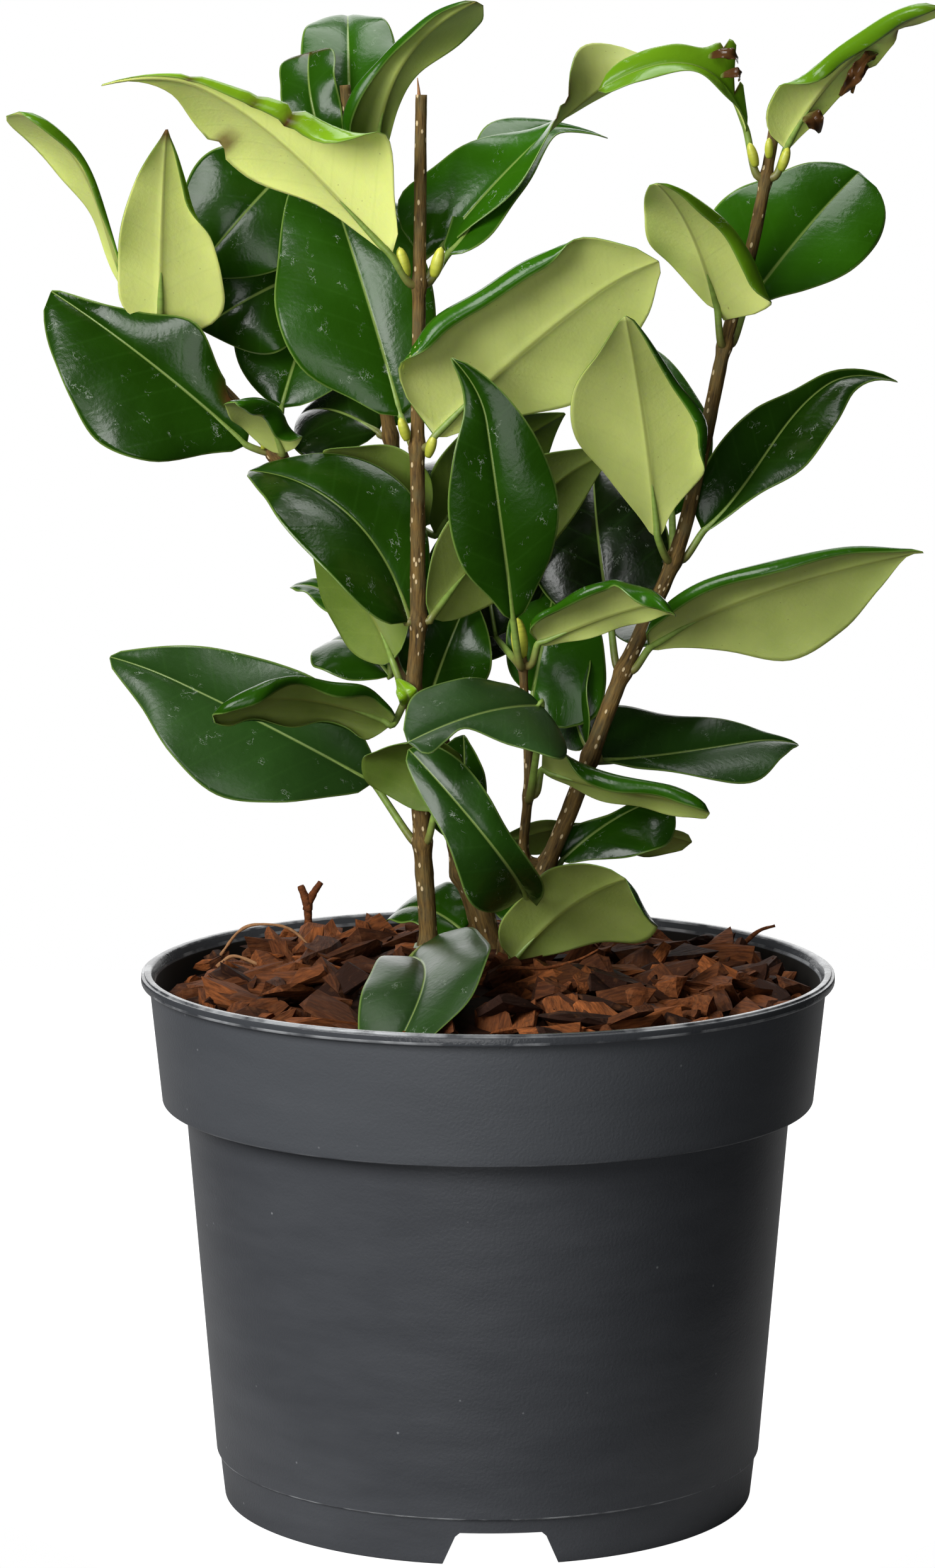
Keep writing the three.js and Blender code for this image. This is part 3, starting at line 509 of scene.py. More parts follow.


# Tones are partly each leaf's own green and partly painted light and shade: leaves deep inside the plant have
# low tones as painted shade, and leaves that catch the lamps have high ones as painted light
WHORLS = {
    "leaves_front_1": (138, [
        leaf((-19, -12, 136), (-24, -70, 121), (-0.35, -0.55, 0.75), (13, 15, 17, 16, 14, 9),
             (5, 10, 13, 13, 11, 7), sway=(-5, -5), fold=(18, 38), lobe=(9, 0), dust=0.09, tone=-0.03),
        leaf((-6, 14, 138), (-24, 30, 139), (0, -0.6, 0.9), (5, 6, 6, 6, 5, 3), (8, 11, 11, 10, 8, 5)),
    ]),
    "leaves_front_2": (164, [
        leaf((-28, -3, 178), (-92, 6, 209), (0, -0.94, 0.34), (8, 16, 21, 17, 9, 4), (9, 15, 15, 12, 7, 3),
             tail=(2, -1), fold=(20, 38), wave=1.2, dust=0.08, tone=0.06),
        leaf((-13, -12, 172), (-17, -25, 191), (0.1, 0.85, 0.5), (4, 7, 8, 8, 6, 3), (8, 14, 16, 15, 11, 6),
             tone=0.05),
    ]),
    "leaves_front_3": (200, [
        leaf((-23, -5, 208), (-44, 6, 238), (0.2, 0.9, 0.3), width=26, fold=(10, 30)),
        leaf((-23, -14, 194), (-64, -37, 201), (0, 0.75, 0.65), (8, 12, 11, 11, 11, 8), (7, 9, 10, 11, 10, 6),
             tail=(0, 3),
             rolls=((1, 140, 0.6, 0.1, 1.1), (-1, 150, 0.7, 0.0, 0.85), (-1, 150, 0.4, 0.85, 1.2)), wave=1.5,
             tone=0.15),
        leaf((-19.4, -9, 198), (-22.2, -10, 204.5), (0.1, -0.9, 0.3), width=4.5, tone=1.15),
    ]),
    "leaves_front_4": (218, [
        leaf((-19, -9, 218), (-58, 10, 254), (0.4, -0.85, 0.25), (11.5, 17, 19, 17.5, 11, 5),
             (9, 13.5, 15.5, 15, 10.5, 5), sway=(4, 4), tail=(2, 0), fold=(35, 15), tone=-0.05),
        leaf((-14, -9, 219), (30, 0, 261), (-0.4, 0.85, 0.3), width=28, tail=(3, -1), tone=0.2),
    ]),
    "leaves_front_5": (260, [
        leaf((-21, 0, 267), (-42, 26, 331), (0.12, -0.95, 0.15), (10, 20, 22, 17, 11.5, 5),
             (8, 14, 16, 13, 9, 4), fold=(8, 25), wave=1.0, tone=0.12),
        leaf((-13, -11, 263), (39, -26, 307), (-0.1, 0.9, 0.4), (5, 12, 19, 17, 12, 5),
             (21, 28, 25, 23, 17, 8), tail=(2, -1), fold=(10, 16), rolls=((1, 150, 0.78, 0.14, 0.8),),
             tone=0.72),
    ]),
    "leaves_front_6": (299, [
        leaf((-23, -11, 306), (-86, -30, 351.5), (0.1, 0.9, 0.4), (10, 20.5, 18, 8.5, 3.5, 1),
             (3, 8.5, 20, 17, 6, 0.5), sway=(-1.2, -5.1), tail=(0, 7.2), fold=(15, 45),
             rolls=((-1, 165, 0.5, 0.34, 0.95),),
             bites=((0.57, 1, 0.16, 0.02), (0.8, -1, 0.2, 0.012), (0.62, -1, 0.15, 0.01),
                    (0.5, -1, 0.2, 0.015)), tone=1.1),
        leaf((-11, 0, 308), (38, 14, 353), (-0.3, -0.8, 0.5), (17.5, 15, 11, 5, 3, 2.5),
             (4, 7, 8, 10, 10.5, 8), fold=(15, 35), twist=-170, lobe=(6, 0),
             bites=((0.66, 1, 0.35, 0.03), (0.58, 1, 0.4, 0.02)), tone=0.6),
        leaf((-10, -4, 306), (26, 30, 338), (-0.35, -0.7, 0.65), (4, 6.5, 8.5, 9, 6, 2),
             (5, 7, 8.5, 7.5, 4.5, 2), sway=(3, -8), tail=(5, 3), fold=(30, 10), tone=0.45),
    ]),
    "leaves_right_1": (138, [
        leaf((6, -10, 135), (33, -22, 157.5), (-0.1, 0.9, 0.4), (4, 8, 13.5, 19, 18.5, 13),
             (8.5, 10, 11, 11.5, 10, 5.5), rolls=((-1, 170, 0.3, 0.95, 1.3),), tone=0.26),
        leaf((6, 5, 141), (18, 32, 148), (0, -0.6, 0.8), width=26),
    ]),
    "leaves_right_2": (149, [
        leaf((9, -20, 153), (-19, -30, 190), (-0.05, -0.85, 0.5), (9, 12, 10, 7, 5, 3),
             (4.5, 4.5, 5, 6.5, 7, 5), arch=(11, 7), sway=(-2, -1), fold=(5, 22), lobe=(0, 4), dust=0.03,
             tone=0.0),
        leaf((18, 1, 158), (44, 12, 172), (0, -0.8, 0.6), (6, 4, 1.5, 1.5, 1.5, 1), (4, 8, 12.5, 14, 11, 6),
             fold=(25, 25)),
    ]),
    "leaves_right_3": (184, [
        leaf((26, 0, 183), (78.5, 32, 185), (0, -0.5, 0.87), (16, 16, 12.5, 8, 3.5, 1.2),
             (1.5, 5, 12, 14, 8, 2.5), arch=(-1, 0), tail=(3, 0), fold=(30, 10), dust=0.05, tone=0.0),
        leaf((24, 3, 186), (27, 28, 211), (-1, -0.2, 0.2), width=26, tone=0.05),
        leaf((27, 8, 185), (46, 54, 180), (0.1, 0.1, 1), width=26),
    ]),
    "leaves_right_4": (205, [
        leaf((39, -3, 211), (103, -22, 237), (0.1, 0.8, 0.6), (4, 11, 19, 16, 7, 0.4), (11, 14, 13, 11, 8, 3),
             arch=(-1, -2), sway=(4, 3), tail=(0, -1), fold=(0, 10), rolls=((1, 140, 0.7, 0.0, 1.1),),
             tone=0.44),
        leaf((30, 3, 215), (26, 26, 254), (-0.2, -0.85, 0.4), width=34, tone=-0.4),
        leaf((37, 9, 210), (58, 56, 206), (0.1, 0.1, 1), width=28),
    ]),
    "leaves_right_5": (232, [
        leaf((41, -5, 238), (32, -34, 293), (0.1, 0.9, 0.4), (4, 13, 19.5, 12, 7, 3),
             (4, 10, 16.5, 15.5, 8, 3), fold=(13, 8), rolls=((-1, 140, 0.75, 0.3, 1.1),), tone=0.66),
        leaf((52, 1, 239), (98, 18, 278.5), (-0.1, -0.75, 0.65), (9, 11, 8.5, 4, 2, 1.5),
             (2, 5, 11.5, 10.5, 5, 1.5), sway=(2, -6), tail=(6, 2), fold=(40, 20), tone=-0.1),
        leaf((45, 9, 242), (36, 52, 284), (0.2, -0.5, 0.8), width=26, tone=0.15),
    ]),
    "leaves_right_6": (284, [
        leaf((55, -4, 293), (39, -38, 324), (0.25, 0.8, 0.5), (15, 18, 16, 12, 8, 4), (4, 8, 11, 9, 6, 3),
             fold=(6, 14), lobe=(4, 0), rolls=((-1, 140, 0.74, 0.15, 1.1),), tone=0.92),
        leaf((62, 4, 293), (91, 26, 325), (0.1, -0.85, 0.5), (15, 20, 19, 14.5, 10.5, 6),
             (4, 9.5, 15, 15.5, 13, 8), fold=(15, 15), tone=0.55),
        leaf((60, 9, 294), (75, 54, 316), (0.1, -0.4, 0.9), width=26, tone=0.2),
    ]),
    "leaves_right_7": (324, [
        leaf((62, -1, 335), (26, -8, 345), (0, -0.4, 0.9), (2, 5, 5, 5, 6, 5), (5, 11, 5, 4, 5, 4),
             arch=(8, 7), fold=(15, 60), bites=((0.17, 1, 0.85, 0.03), (0.31, 1, 0.3, 0.02)), burn=0.3,
             tone=0.95),
        leaf((71, -2, 331), (105, -32, 364.5), (-0.4, 0.75, 0.45), (2.5, 5.5, 7, 5, 3.5, 3),
             (9, 11, 11, 10, 10, 8), sway=(1.5, 1), fold=(15, 20), rolls=((1, 160, 0.42, 0.35, 1.1),),
             bites=((0.46, -1, 0.4, 0.04), (0.75, -1, 0.5, 0.05)), burn=0.4, tone=0.92),
    ]),
    "leaves_left_1": (154, [
        leaf((-8, 4, 163), (-6, 2, 189), (0.2, -0.9, 0.3), (5, 9, 11, 10, 7, 3), (2, 3.5, 5.5, 5, 3, 1),
             tone=0.0),
        leaf((2, 15, 160), (51, 24, 159), (0, 0.6, 0.75), (8, 11, 10, 9, 12, 7), (4, 4, 1.5, 1.5, 3, 3),
             tone=0.2),
    ]),
    "leaves_left_2": (210, [
        leaf((-24, 14, 202), (-40.5, 36, 207), (0, -0.6, 0.8), width=25, tone=0.0),
        leaf((-30, 16, 213), (-49, 34, 222), (0, -0.6, 0.8), (3, 4, 4, 3, 2, 1), (4, 6, 5, 3, 2, 1.5)),
        leaf((-14, 8, 198), (-4, 6, 224), (0, -0.95, 0.3), width=24, fold=(25, 25), tone=-0.05),
    ]),
    "leaves_left_3": (257, [
        leaf((-59, 14, 259), (-107, 22, 296), (0.22, -0.95, 0.25), (8, 19, 23, 19, 13, 7),
             (6, 9, 14, 8.5, 3.5, 1.5), fold=(8, 35), bites=((0.16, 1, 0.2, 0.04),), wave=1.2, tone=-0.05),
        leaf((-50, 12, 257), (-61, -8, 271), (0.1, 0.6, 0.7), (6, 9, 11, 10, 8, 5), (4, 7, 8, 7, 5, 3),
             rolls=((-1, 160, 0.3, 0.2, 1.2),), tone=0.45),
        leaf((-51, 28, 267), (-36, 58, 303), (-0.2, -0.9, 0.4), width=36),
    ]),
    "leaves_left_4": (288, [
        leaf((-86, 18, 292), (-112, -4, 340), (0.5, 0.75, 0.35), (1, 1.5, 2.5, 4, 5, 5),
             (1.5, 3, 5, 10, 13, 10), sway=(2, -5), fold=(20, 25), rolls=((-1, 150, 0.35, 0.0, 1.1),),
             tone=0.85),
        leaf((-80, 17, 289), (-76, -16, 336), (-0.1, 0.85, 0.45), (15, 14.5, 11, 7.5, 4, 1),
             (9.5, 10.2, 9.8, 7, 4, 1), fold=(8, 10), lobe=(5, 1), rolls=((-1, 140, 0.7, 0.5, 1.1),),
             burn=1.0, tone=0.95),
        leaf((-82, 25, 294), (-72, 58, 305), (0, -0.5, 0.9), width=26),
    ]),
    "leaves_back_1": (338, [
        leaf((-34, 33, 341), (-35, 60, 363), (0, -0.8, 0.5), (8, 11, 11.5, 10.5, 8, 4),
             (8, 11, 11.5, 10.5, 8, 4), arch=(2, 3), fold=(20, 20), tone=0.4),
        leaf((-40, 30, 330), (-44, 40, 354), (-0.3, -0.9, 0.3), (6, 7, 7, 7, 7, 6), (6, 7, 7, 7, 7, 6),
             fold=(20, 20), burn=0.8, tone=0.15),
    ]),
    "leaves_back_2": (325, [
        leaf((-27, 22, 328), (-3, -3, 366), (-0.1, 0.9, 0.3), (3, 4, 6, 11, 10, 5), (14, 13, 8, 6, 5, 3),
             sway=(4, 3), fold=(40, 10), rolls=((1, 140, 0.6, 0.0, 1.1),), burn=0.5, tone=0.45),
        leaf((-47, 30, 328), (-73, 28, 299), (0, -0.95, 0.2), width=34, fold=(10, 10), tone=0.0),
    ]),
    "leaves_back_3": (300, [
        leaf((-48, 34, 299), (-71, 34, 286), (0, -0.95, 0.2), width=30, tone=-0.1),
        leaf((-33, 36, 304), (-45, 75, 316), (0, -0.4, 0.9), width=34),
    ]),
    "leaves_back_4": (260, [
        leaf((-27, 28, 261), (-47, 44, 264), (0, -0.8, 0.6), width=30, tone=-0.25),
        leaf((-24, 36, 262), (-20, 72, 272), (0, -0.4, 0.9), width=34),
    ]),
    "leaves_back_5": (238, [
        leaf((-17, 20, 236), (-40, 10, 258), (0.3, 0.85, 0.3), width=26),
        leaf((-13, 22, 236), (19, 24, 266), (-0.4, 0.8, 0.4), width=28, tone=0.05),
        leaf((-12, 30, 240), (6, 66, 248), (0, -0.4, 0.9), width=32),
    ]),
    "leaves_back_6": (210, [
        leaf((-8, 25, 204), (2, 36, 232), (0, -0.95, 0.3), width=30, tone=-0.4),
        leaf((-16, 33, 203), (-20, 68, 196), (0, -0.4, 0.9), width=32),
    ]),
}
# Scraps of torn blade, dried brown, that still hang on their leaf
SCRAPS = {
    "leaves_right_7": [
        leaf((88.4, -17, 352.2), (82.6, -19, 343.8), (0.2, -0.9, 0.3), width=3, fold=(30, 30), wave=1.5,
             burn=10),
        leaf((91.5, -18, 354), (85.4, -20, 344.4), (-0.3, -0.9, 0.2), width=2.4, fold=(40, 20), wave=1.2,
             burn=10),
        leaf((75.5, -8, 339.4), (78.8, -9, 335), (0, -0.9, 0.2), width=4, wave=1.0, burn=10),
        leaf((52, -9, 353), (59.4, -7, 351.6), (0, -0.9, 0.3), width=1.8, burn=10),
        leaf((55, -8.5, 348.4), (59.6, -7, 347.4), (0, -0.9, 0.3), width=1.6, wave=0.5, burn=10),
    ],
}
# Their tones too are partly painted light and shade
SHOOT_JOINTS = [
    (175, [
        leaf((13, -20, 199), (-19, -47, 194), (0, -0.7, 0.7), (15, 18, 11, 3, 4, 5), (7, 10, 11, 12, 10, 5),
             arch=(2, 2), fold=(10, 15), dust=0.12, tone=0.05),
        leaf((13, -8, 182), (54, -24, 176), (0, 0.75, 0.65), (2, 3, 4, 4, 4, 3), (10, 12, 11, 10, 9, 6),
             arch=(-1, -1), tail=(3, 0), fold=(0, 10), rolls=((1, 140, 0.5, 0.25, 1.1),), tone=0.3),
        leaf((11, 6, 199), (17, 18, 226), (0, -0.95, 0.25), (6, 8, 9, 8, 6, 3), (16, 17, 15, 12, 8, 4),
             lobe=(0, 9), tone=0.3),
    ]),
    (207, [
        leaf((6, -14, 219), (-3, -24, 284), (0.05, -1, 0.1), (4.5, 10.5, 12, 9, 4, 1.5),
             (5.5, 11, 14, 11.5, 6.5, 3), tail=(-3, -6), fold=(20, 20), tone=0.03),
        leaf((12, -10, 213), (46, -30, 225.5), (-0.1, 0.85, 0.5), (2, 3, 4, 4, 3, 2), (10, 11, 14, 13, 12, 9),
             arch=(1, 2), tail=(6, 2), fold=(0, 10),
             rolls=((1, 150, 0.82, 0.0, 0.7), (1, 150, 0.45, 0.78, 1.2)), tone=0.5),
        leaf((2, 11, 212), (-4, 22, 244), (0, -0.95, 0.2), width=30, tone=-0.4),
    ]),
]

print("leaf masses:", len(WHORLS) + 1)

# %% Leaf rule
BROADEST = 0.42
TAIL_START = 0.75
TWIST_START = 0.3
MARGIN_BEND = 27
FOOT_ROUNDING = 0.7
TIP_POINTING = 1.15
NARROWEST = 0.4
THIRD_PEAK = 4 / 27
ROWS = np.linspace(0, 1, 37)
HALF_COLUMNS = np.array([0.04, 0.1, 0.2, 0.34, 0.48, 0.6, 0.7, 0.78, 0.86, 0.94, 1.0])
COLUMNS = np.concatenate([-HALF_COLUMNS[::-1], [0], HALF_COLUMNS])
FINE = np.linspace(0, 1, 51)
GIVEN_AT = np.array([0.1, 0.25, 0.45, 0.65, 0.82, 0.94])
THICKNESS = 0.45
ROLL_EASE, ROLL_ONSET = 0.12, 0.15
WAVES, END_CALM = 2.3, 6
GROOVE_DEPTH, GROOVE_WIDTH = 0.25, 0.8
KEEL_FOOT, KEEL_LOSS, KEEL_WIDTH = 0.5, 0.4, 0.6
RIB_FOOT, RIB_LOSS = 0.75, 0.5
PATTERN_STEP = 31.0


def smooth_values(at, values, t):
    """A smooth curve through values, square at the foot and the tip as a blade's outline is."""
    turn = lambda x: np.arccos(1 - 2 * np.clip(x, 0, 1)) / math.pi
    at, t = turn(at), turn(t)
    slopes = np.gradient(values, at)
    k = np.clip(np.searchsorted(at, t, side="right") - 1, 0, len(at) - 2)
    step = at[k + 1] - at[k]
    u = (t - at[k]) / step
    return ((1 + 2 * u) * (1 - u) ** 2 * values[k] + u * (1 - u) ** 2 * step * slopes[k]
            + u * u * (3 - 2 * u) * values[k + 1] + u * u * (u - 1) * step * slopes[k + 1])


def eased(value, start, end):
    """From 0 at the start to 1 at the end, without a kink."""
    share = np.clip((value - start) / (end - start), 0, 1)
    return share * share * (3 - 2 * share)


def half_widths(leaf, side, t):
    """An even oval, or the half widths that the table gives for this side."""
    given = leaf["left"] if side < 0 else leaf["right"]
    if given:
        return smooth_values(np.concatenate([[0], GIVEN_AT, [1]]), np.array([0, *given, 0]), t) + NARROWEST
    before = np.clip((BROADEST - t) / BROADEST, 0, 1)
    after = np.clip((t - BROADEST) / (1 - BROADEST), 0, 1)
    share = np.where(t < BROADEST, (1 - before ** 2) ** FOOT_ROUNDING, (1 - after ** 2) ** TIP_POINTING)
    return leaf["width"] / 2 * share + NARROWEST


def leaf_frame(leaf):
    """The foot, the way to the tip, and the upward and rightward directions of a blade."""
    base = np.array(leaf["base"], float)
    reach = np.array(leaf["tip"], float) - base
    along = unit(reach)
    up = np.array(leaf["face"], float)
    up = unit(up - up.dot(along) * along)
    return base, reach, up, np.cross(along, up)


def midrib(leaf, t):
    """Points on the midrib, which arches up, sways aside and may turn at its tail."""
    base, reach, up, right = leaf_frame(leaf)
    first, second = t * (1 - t) ** 2 / THIRD_PEAK, t * t * (1 - t) / THIRD_PEAK
    tail = np.clip((t - TAIL_START) / (1 - TAIL_START), 0, 1) ** 2
    rise = leaf["arch"][0] * first + leaf["arch"][1] * second - leaf["tail"][0] * tail
    drift = leaf["sway"][0] * first + leaf["sway"][1] * second + leaf["tail"][1] * tail
    return base + reach * t[..., None] + up * rise[..., None] + right * drift[..., None]


def half_section(leaf, side, t):
    """Out and up from the midrib to the margin of one half, as shares of its width, row by row."""
    k = 0 if side < 0 else 1
    bend = np.tile(leaf["fold"][k] - MARGIN_BEND * FINE, (t.size, 1))
    for roll_side, angle, start, first, last in leaf["rolls"]:
        if roll_side == side:
            present = eased(t, first - ROLL_EASE, first + ROLL_EASE)
            present = present * (1 - eased(t, last - ROLL_EASE, last + ROLL_EASE))
            bend = bend - angle * present * eased(FINE, start - ROLL_ONSET, 1.0)
    bend = np.radians(bend)
    step = FINE[1] - FINE[0]
    out, up = np.cos(bend), np.sin(bend)
    picks = np.round(HALF_COLUMNS / step).astype(int)
    sums = [np.cumsum((x[:, 1:] + x[:, :-1]) / 2, axis=1) * step for x in (out, up)]
    return [s[:, picks - 1] for s in sums]


def blade(leaf, phase):
    """The middle surface of a blade on the grid of rows and columns, with its half widths."""
    _, _, up, right = leaf_frame(leaf)
    t, v = ROWS[:, None], COLUMNS[None, :]
    turn = math.radians(leaf["twist"]) * np.clip((t - TWIST_START) / (1 - TWIST_START), 0, 1) ** 1.5
    turn = np.broadcast_to(turn, (t.size, v.size))[..., None]
    up, right = up * np.cos(turn) + right * np.sin(turn), right * np.cos(turn) - up * np.sin(turn)
    width = np.where(v < 0, half_widths(leaf, -1, t), half_widths(leaf, 1, t))
    for place, side, depth, spread in leaf["bites"]:
        ragged = 1 + 0.35 * np.sin(61 * t + 7 * place) * np.sin(37 * t)
        nibble = 1 - np.clip(depth * ragged * np.exp(-((t - place) / spread) ** 4), 0, 0.95)
        width = np.where(v * side > 0, width * nibble, width)
    (left_out, left_up), (right_out, right_up) = half_section(leaf, -1, t), half_section(leaf, 1, t)
    middle = np.zeros_like(t)
    out = np.hstack([-left_out[:, ::-1], middle, right_out]) * width
    lift = np.hstack([left_up[:, ::-1], middle, right_up]) * width
    swell = np.sin(2 * math.pi * (WAVES * t + phase + 0.35 * np.sign(v)))
    calm = np.clip(t * END_CALM, 0, 1) * np.clip((1 - t) * END_CALM, 0, 1)
    lift = lift + leaf["wave"] * swell * np.abs(v) ** 3 * calm
    points = midrib(leaf, t * np.ones_like(v))
    points = points + right * out[..., None] + up * lift[..., None]
    along = unit(np.subtract(leaf["tip"], leaf["base"]))
    lobe = np.where(v < 0, leaf["lobe"][0], leaf["lobe"][1]) * np.abs(v) * (1 - t) ** 3
    return points - along * lobe[..., None], width


def grow_leaf(shape, leaf, seed):
    """Both skins of a blade and its margin, with the measures that the finishes read."""
    grid, width = blade(leaf, seed * 0.37)
    length = np.linalg.norm(np.subtract(leaf["tip"], leaf["base"]))
    down = np.gradient(grid, ROWS, axis=0)
    over = np.gradient(grid, COLUMNS, axis=1)
    normal = np.cross(over, down)
    normal /= np.linalg.norm(normal, axis=2, keepdims=True)
    t = ROWS[:, None] * np.ones_like(COLUMNS)
    across = width * COLUMNS
    rib_width = RIB_FOOT - RIB_LOSS * t
    half = THICKNESS / 2 * (1 - 0.5 * COLUMNS ** 2) * np.ones_like(t)
    groove = GROOVE_DEPTH * np.exp(-(across / GROOVE_WIDTH) ** 2)
    keel = (KEEL_FOOT - KEEL_LOSS * t) * np.exp(-(across / KEEL_WIDTH) ** 2)
    top = grid + normal * (half - groove)[..., None]
    below = grid - normal * (half + keel)[..., None]
    rows, columns = len(ROWS), len(COLUMNS)
    count = rows * columns
    faces, slots = [], []
    for i in range(rows - 1):
        for j in range(columns - 1):
            a = i * columns + j
            faces.append((a, a + 1, a + columns + 1, a + columns))
            faces.append((count + a + 1, count + a, count + a + columns, count + a + columns + 1))
            slots += [0, 1]
    rim = [i * columns for i in range(rows)] + [(rows - 1) * columns + j for j in range(1, columns)]
    rim += [i * columns + columns - 1 for i in range(rows - 2, -1, -1)] + list(range(columns - 2, 0, -1))
    for a, b in zip(rim, rim[1:] + rim[:1]):
        faces.append((b, b + count, a + count, a))
        slots.append(0)
    burn = np.clip((t - 1 + 0.1 * leaf["burn"]) / 0.08, 0, 1)
    for place, side, _, spread in leaf["bites"]:
        near = np.exp(-((t - place) / (1.4 * spread)) ** 2)
        near = near * np.clip((np.abs(COLUMNS) - 0.45) / 0.4, 0, 1)
        burn = np.maximum(burn, near * (COLUMNS * side > 0))
    values = dict(across=across, edge=width * (1 - np.abs(COLUMNS)), along=t * length,
                  rib=np.abs(across) / rib_width, burn=burn)
    doubled = {k: np.concatenate([x.ravel(), x.ravel()]) for k, x in values.items()}
    shape.add(np.concatenate([top.reshape(-1, 3), below.reshape(-1, 3)]), faces, slots, tone=leaf["tone"],
              dust=leaf["dust"], seed=seed * PATTERN_STEP, **doubled)


print("points on a blade:", 2 * len(ROWS) * len(COLUMNS))

# %% Stalks
STALK_RADIUS = 0.95
STALK_SIDES = 10
STALK_START = 3.0
STALK_TAPER = ([0, 0.15, 0.5, 0.75, 1], [1.25, 1.0, 0.9, 0.6, 0.15])


def point_at_height(line, height):
    """Where a stem's line reaches a height."""
    line = np.asarray(line, float)
    return np.array([np.interp(height, line[:, 2], line[:, k]) for k in range(3)])


def grow_stalk(shape, leaf, joint, seed):
    """From inside the wood, out to the foot of the blade and on under its midrib."""
    base, _, up, _ = leaf_frame(leaf)
    ribs = midrib(leaf, np.array([0.05, 0.14, 0.24])) - 0.35 * up
    out = base - joint
    out = unit(out - 0.75 * out[2] * np.array([0, 0, 1.0])) * STALK_START
    line, run = smooth_line(np.vstack([joint, joint + out, base - 0.3 * up, ribs]), 0.8)
    radii = STALK_RADIUS * np.interp(run / run[-1], *STALK_TAPER)
    along = np.concatenate([np.repeat(run, STALK_SIDES), [0, run[-1]]])
    tube(shape, line, run, radii, STALK_SIDES, along=along, seed=seed * PATTERN_STEP)


count = 0
stalks = Shape()
for name, (height, leaves) in WHORLS.items():
    whorl = Shape()
    stem = name.split("_")[1]
    for entry in leaves:
        count += 1
        grow_leaf(whorl, entry, count)
        grow_stalk(stalks, entry, point_at_height(STEMS[stem][0], height), count)
    for entry in SCRAPS.get(name, []):
        count += 1
        grow_leaf(whorl, entry, count)
    settle(whorl.object(name.replace("leaves", "blades"), upper_skin, under_skin), "leaf", name)
shoot = Shape()
for height, leaves in SHOOT_JOINTS:
    for entry in leaves:
        count += 1
        grow_leaf(shoot, entry, count)
        grow_stalk(stalks, entry, point_at_height(SHOOT_LINE[1:], height), count)
settle(shoot.object("blades_side_shoot", upper_skin, under_skin), "leaf", "side_shoot")
settle(stalks.object("leaf_stalks", stalk_skin), "leaf")
print("leaves:", count)

# %% [markdown]
# ## Buds
# In the corner above each leaf stalk sits a bud, two pale scales that close to a point.

# %% Buds
BUDS = [
    ((-19.5, -9, 301), (-0.25, -0.2, 1), 7.5), ((-13, -9, 301), (0.25, -0.2, 1), 7.5),
    ((-19.5, -9.5, 262), (-0.3, -0.3, 1), 6), ((-14.5, -10, 258), (0.3, -0.3, 1), 6),
    ((64, -2, 327), (-0.3, -0.2, 1), 6), ((70, -2, 326), (0.3, -0.2, 1), 6), ((67, -3, 329), (0, -0.3, 1), 5),
    ((8, -7, 209), (-0.1, 0, 1), 10), ((-85, 18, 291), (-0.4, 0, 1), 5), ((-55, 14, 258), (0.2, -0.4, 1), 4),
]
BUD_RINGS = BUD_SIDES = 12
BUD_SLIMNESS = 0.2


def bud(shape, foot, aim, length, seed):
    """One closed bud, widest near its foot and pointed at its tip."""
    run = np.linspace(0, length, BUD_RINGS)
    swell = np.clip(np.sin(math.pi * np.clip(0.12 + 0.88 * run / length, 0, 1)), 0, 1)
    radii = length * BUD_SLIMNESS * np.sqrt(swell) + 0.05
    line = np.array(foot, float) + run[:, None] * unit(aim)
    along = np.concatenate([np.repeat(run, BUD_SIDES), [0, length]])
    tube(shape, line, run, radii, BUD_SIDES, along=along, seed=seed * PATTERN_STEP)


buds = Shape()
for seed, (foot, aim, length) in enumerate(BUDS):
    bud(buds, foot, aim, length, seed)
settle(buds.object("buds", bud_skin), "leaf")
print("buds:", len(BUDS))

# %% [markdown]
# ## Pot
# A thin-walled pot, moulded in recycled polypropylene: a stepped collar with a rolled lip, a tapered body and
# a short skirt with notches that let water out. A turned profile gives all of it at once, with its corners
# rounded as a mould rounds them, and the notches and drain holes are then cut through.

# %% Moulded plastic
# Recycled plastic out of a fine-grained mould: dull grey, streaked by its flow, with pale motes
pot_skin, add, shader = material("moulded_recycled_polypropylene", IOR=1.49, Specular_IOR_Level=0.35)
here = add("TexCoord", {}, "Object")
place = add("VectorMath", (here, (1000, 1000, 1000)), operation="MULTIPLY")
level = add("VectorMath", (place, (1.0, 1.0, 4.0)), operation="MULTIPLY")
flow = add("TexNoise", {"Vector": level, "Scale": 0.03, "Detail": 4.0, "Roughness": 0.6})
flow = add("MapRange", (flow, 0.3, 0.7))
plastic = add("Mix", {"Factor": flow, "A": colour("#3f4145"), "B": colour("#484a4e")}, data_type="RGBA")
motes = add("TexVoronoi", {"Vector": place, "Scale": 0.12, "Randomness": 1.0})
motes = add("MapRange", (motes, 0.02, 0.045, 0.5, 0.0))
# The collar is painted a shade lighter, as painted light on the pot's higher part, and the lip darker and
# smoother
height = add("SeparateXYZ", (place,), "Z")
collar_painted_light = add("MapRange", (height, 98.0, 102.0, 0.0, 0.4))
lip = add("MapRange", (height, 128.9, 129.4))
lip_shade = add("MapRange", {0: lip, 3: 0.0, 4: 0.6})
for share, tint in ((motes, "#a4a6a8"), (collar_painted_light, "#56595d"), (lip_shade, "#303235")):
    plastic = add("Mix", {"Factor": share, "A": plastic, "B": colour(tint)}, data_type="RGBA")
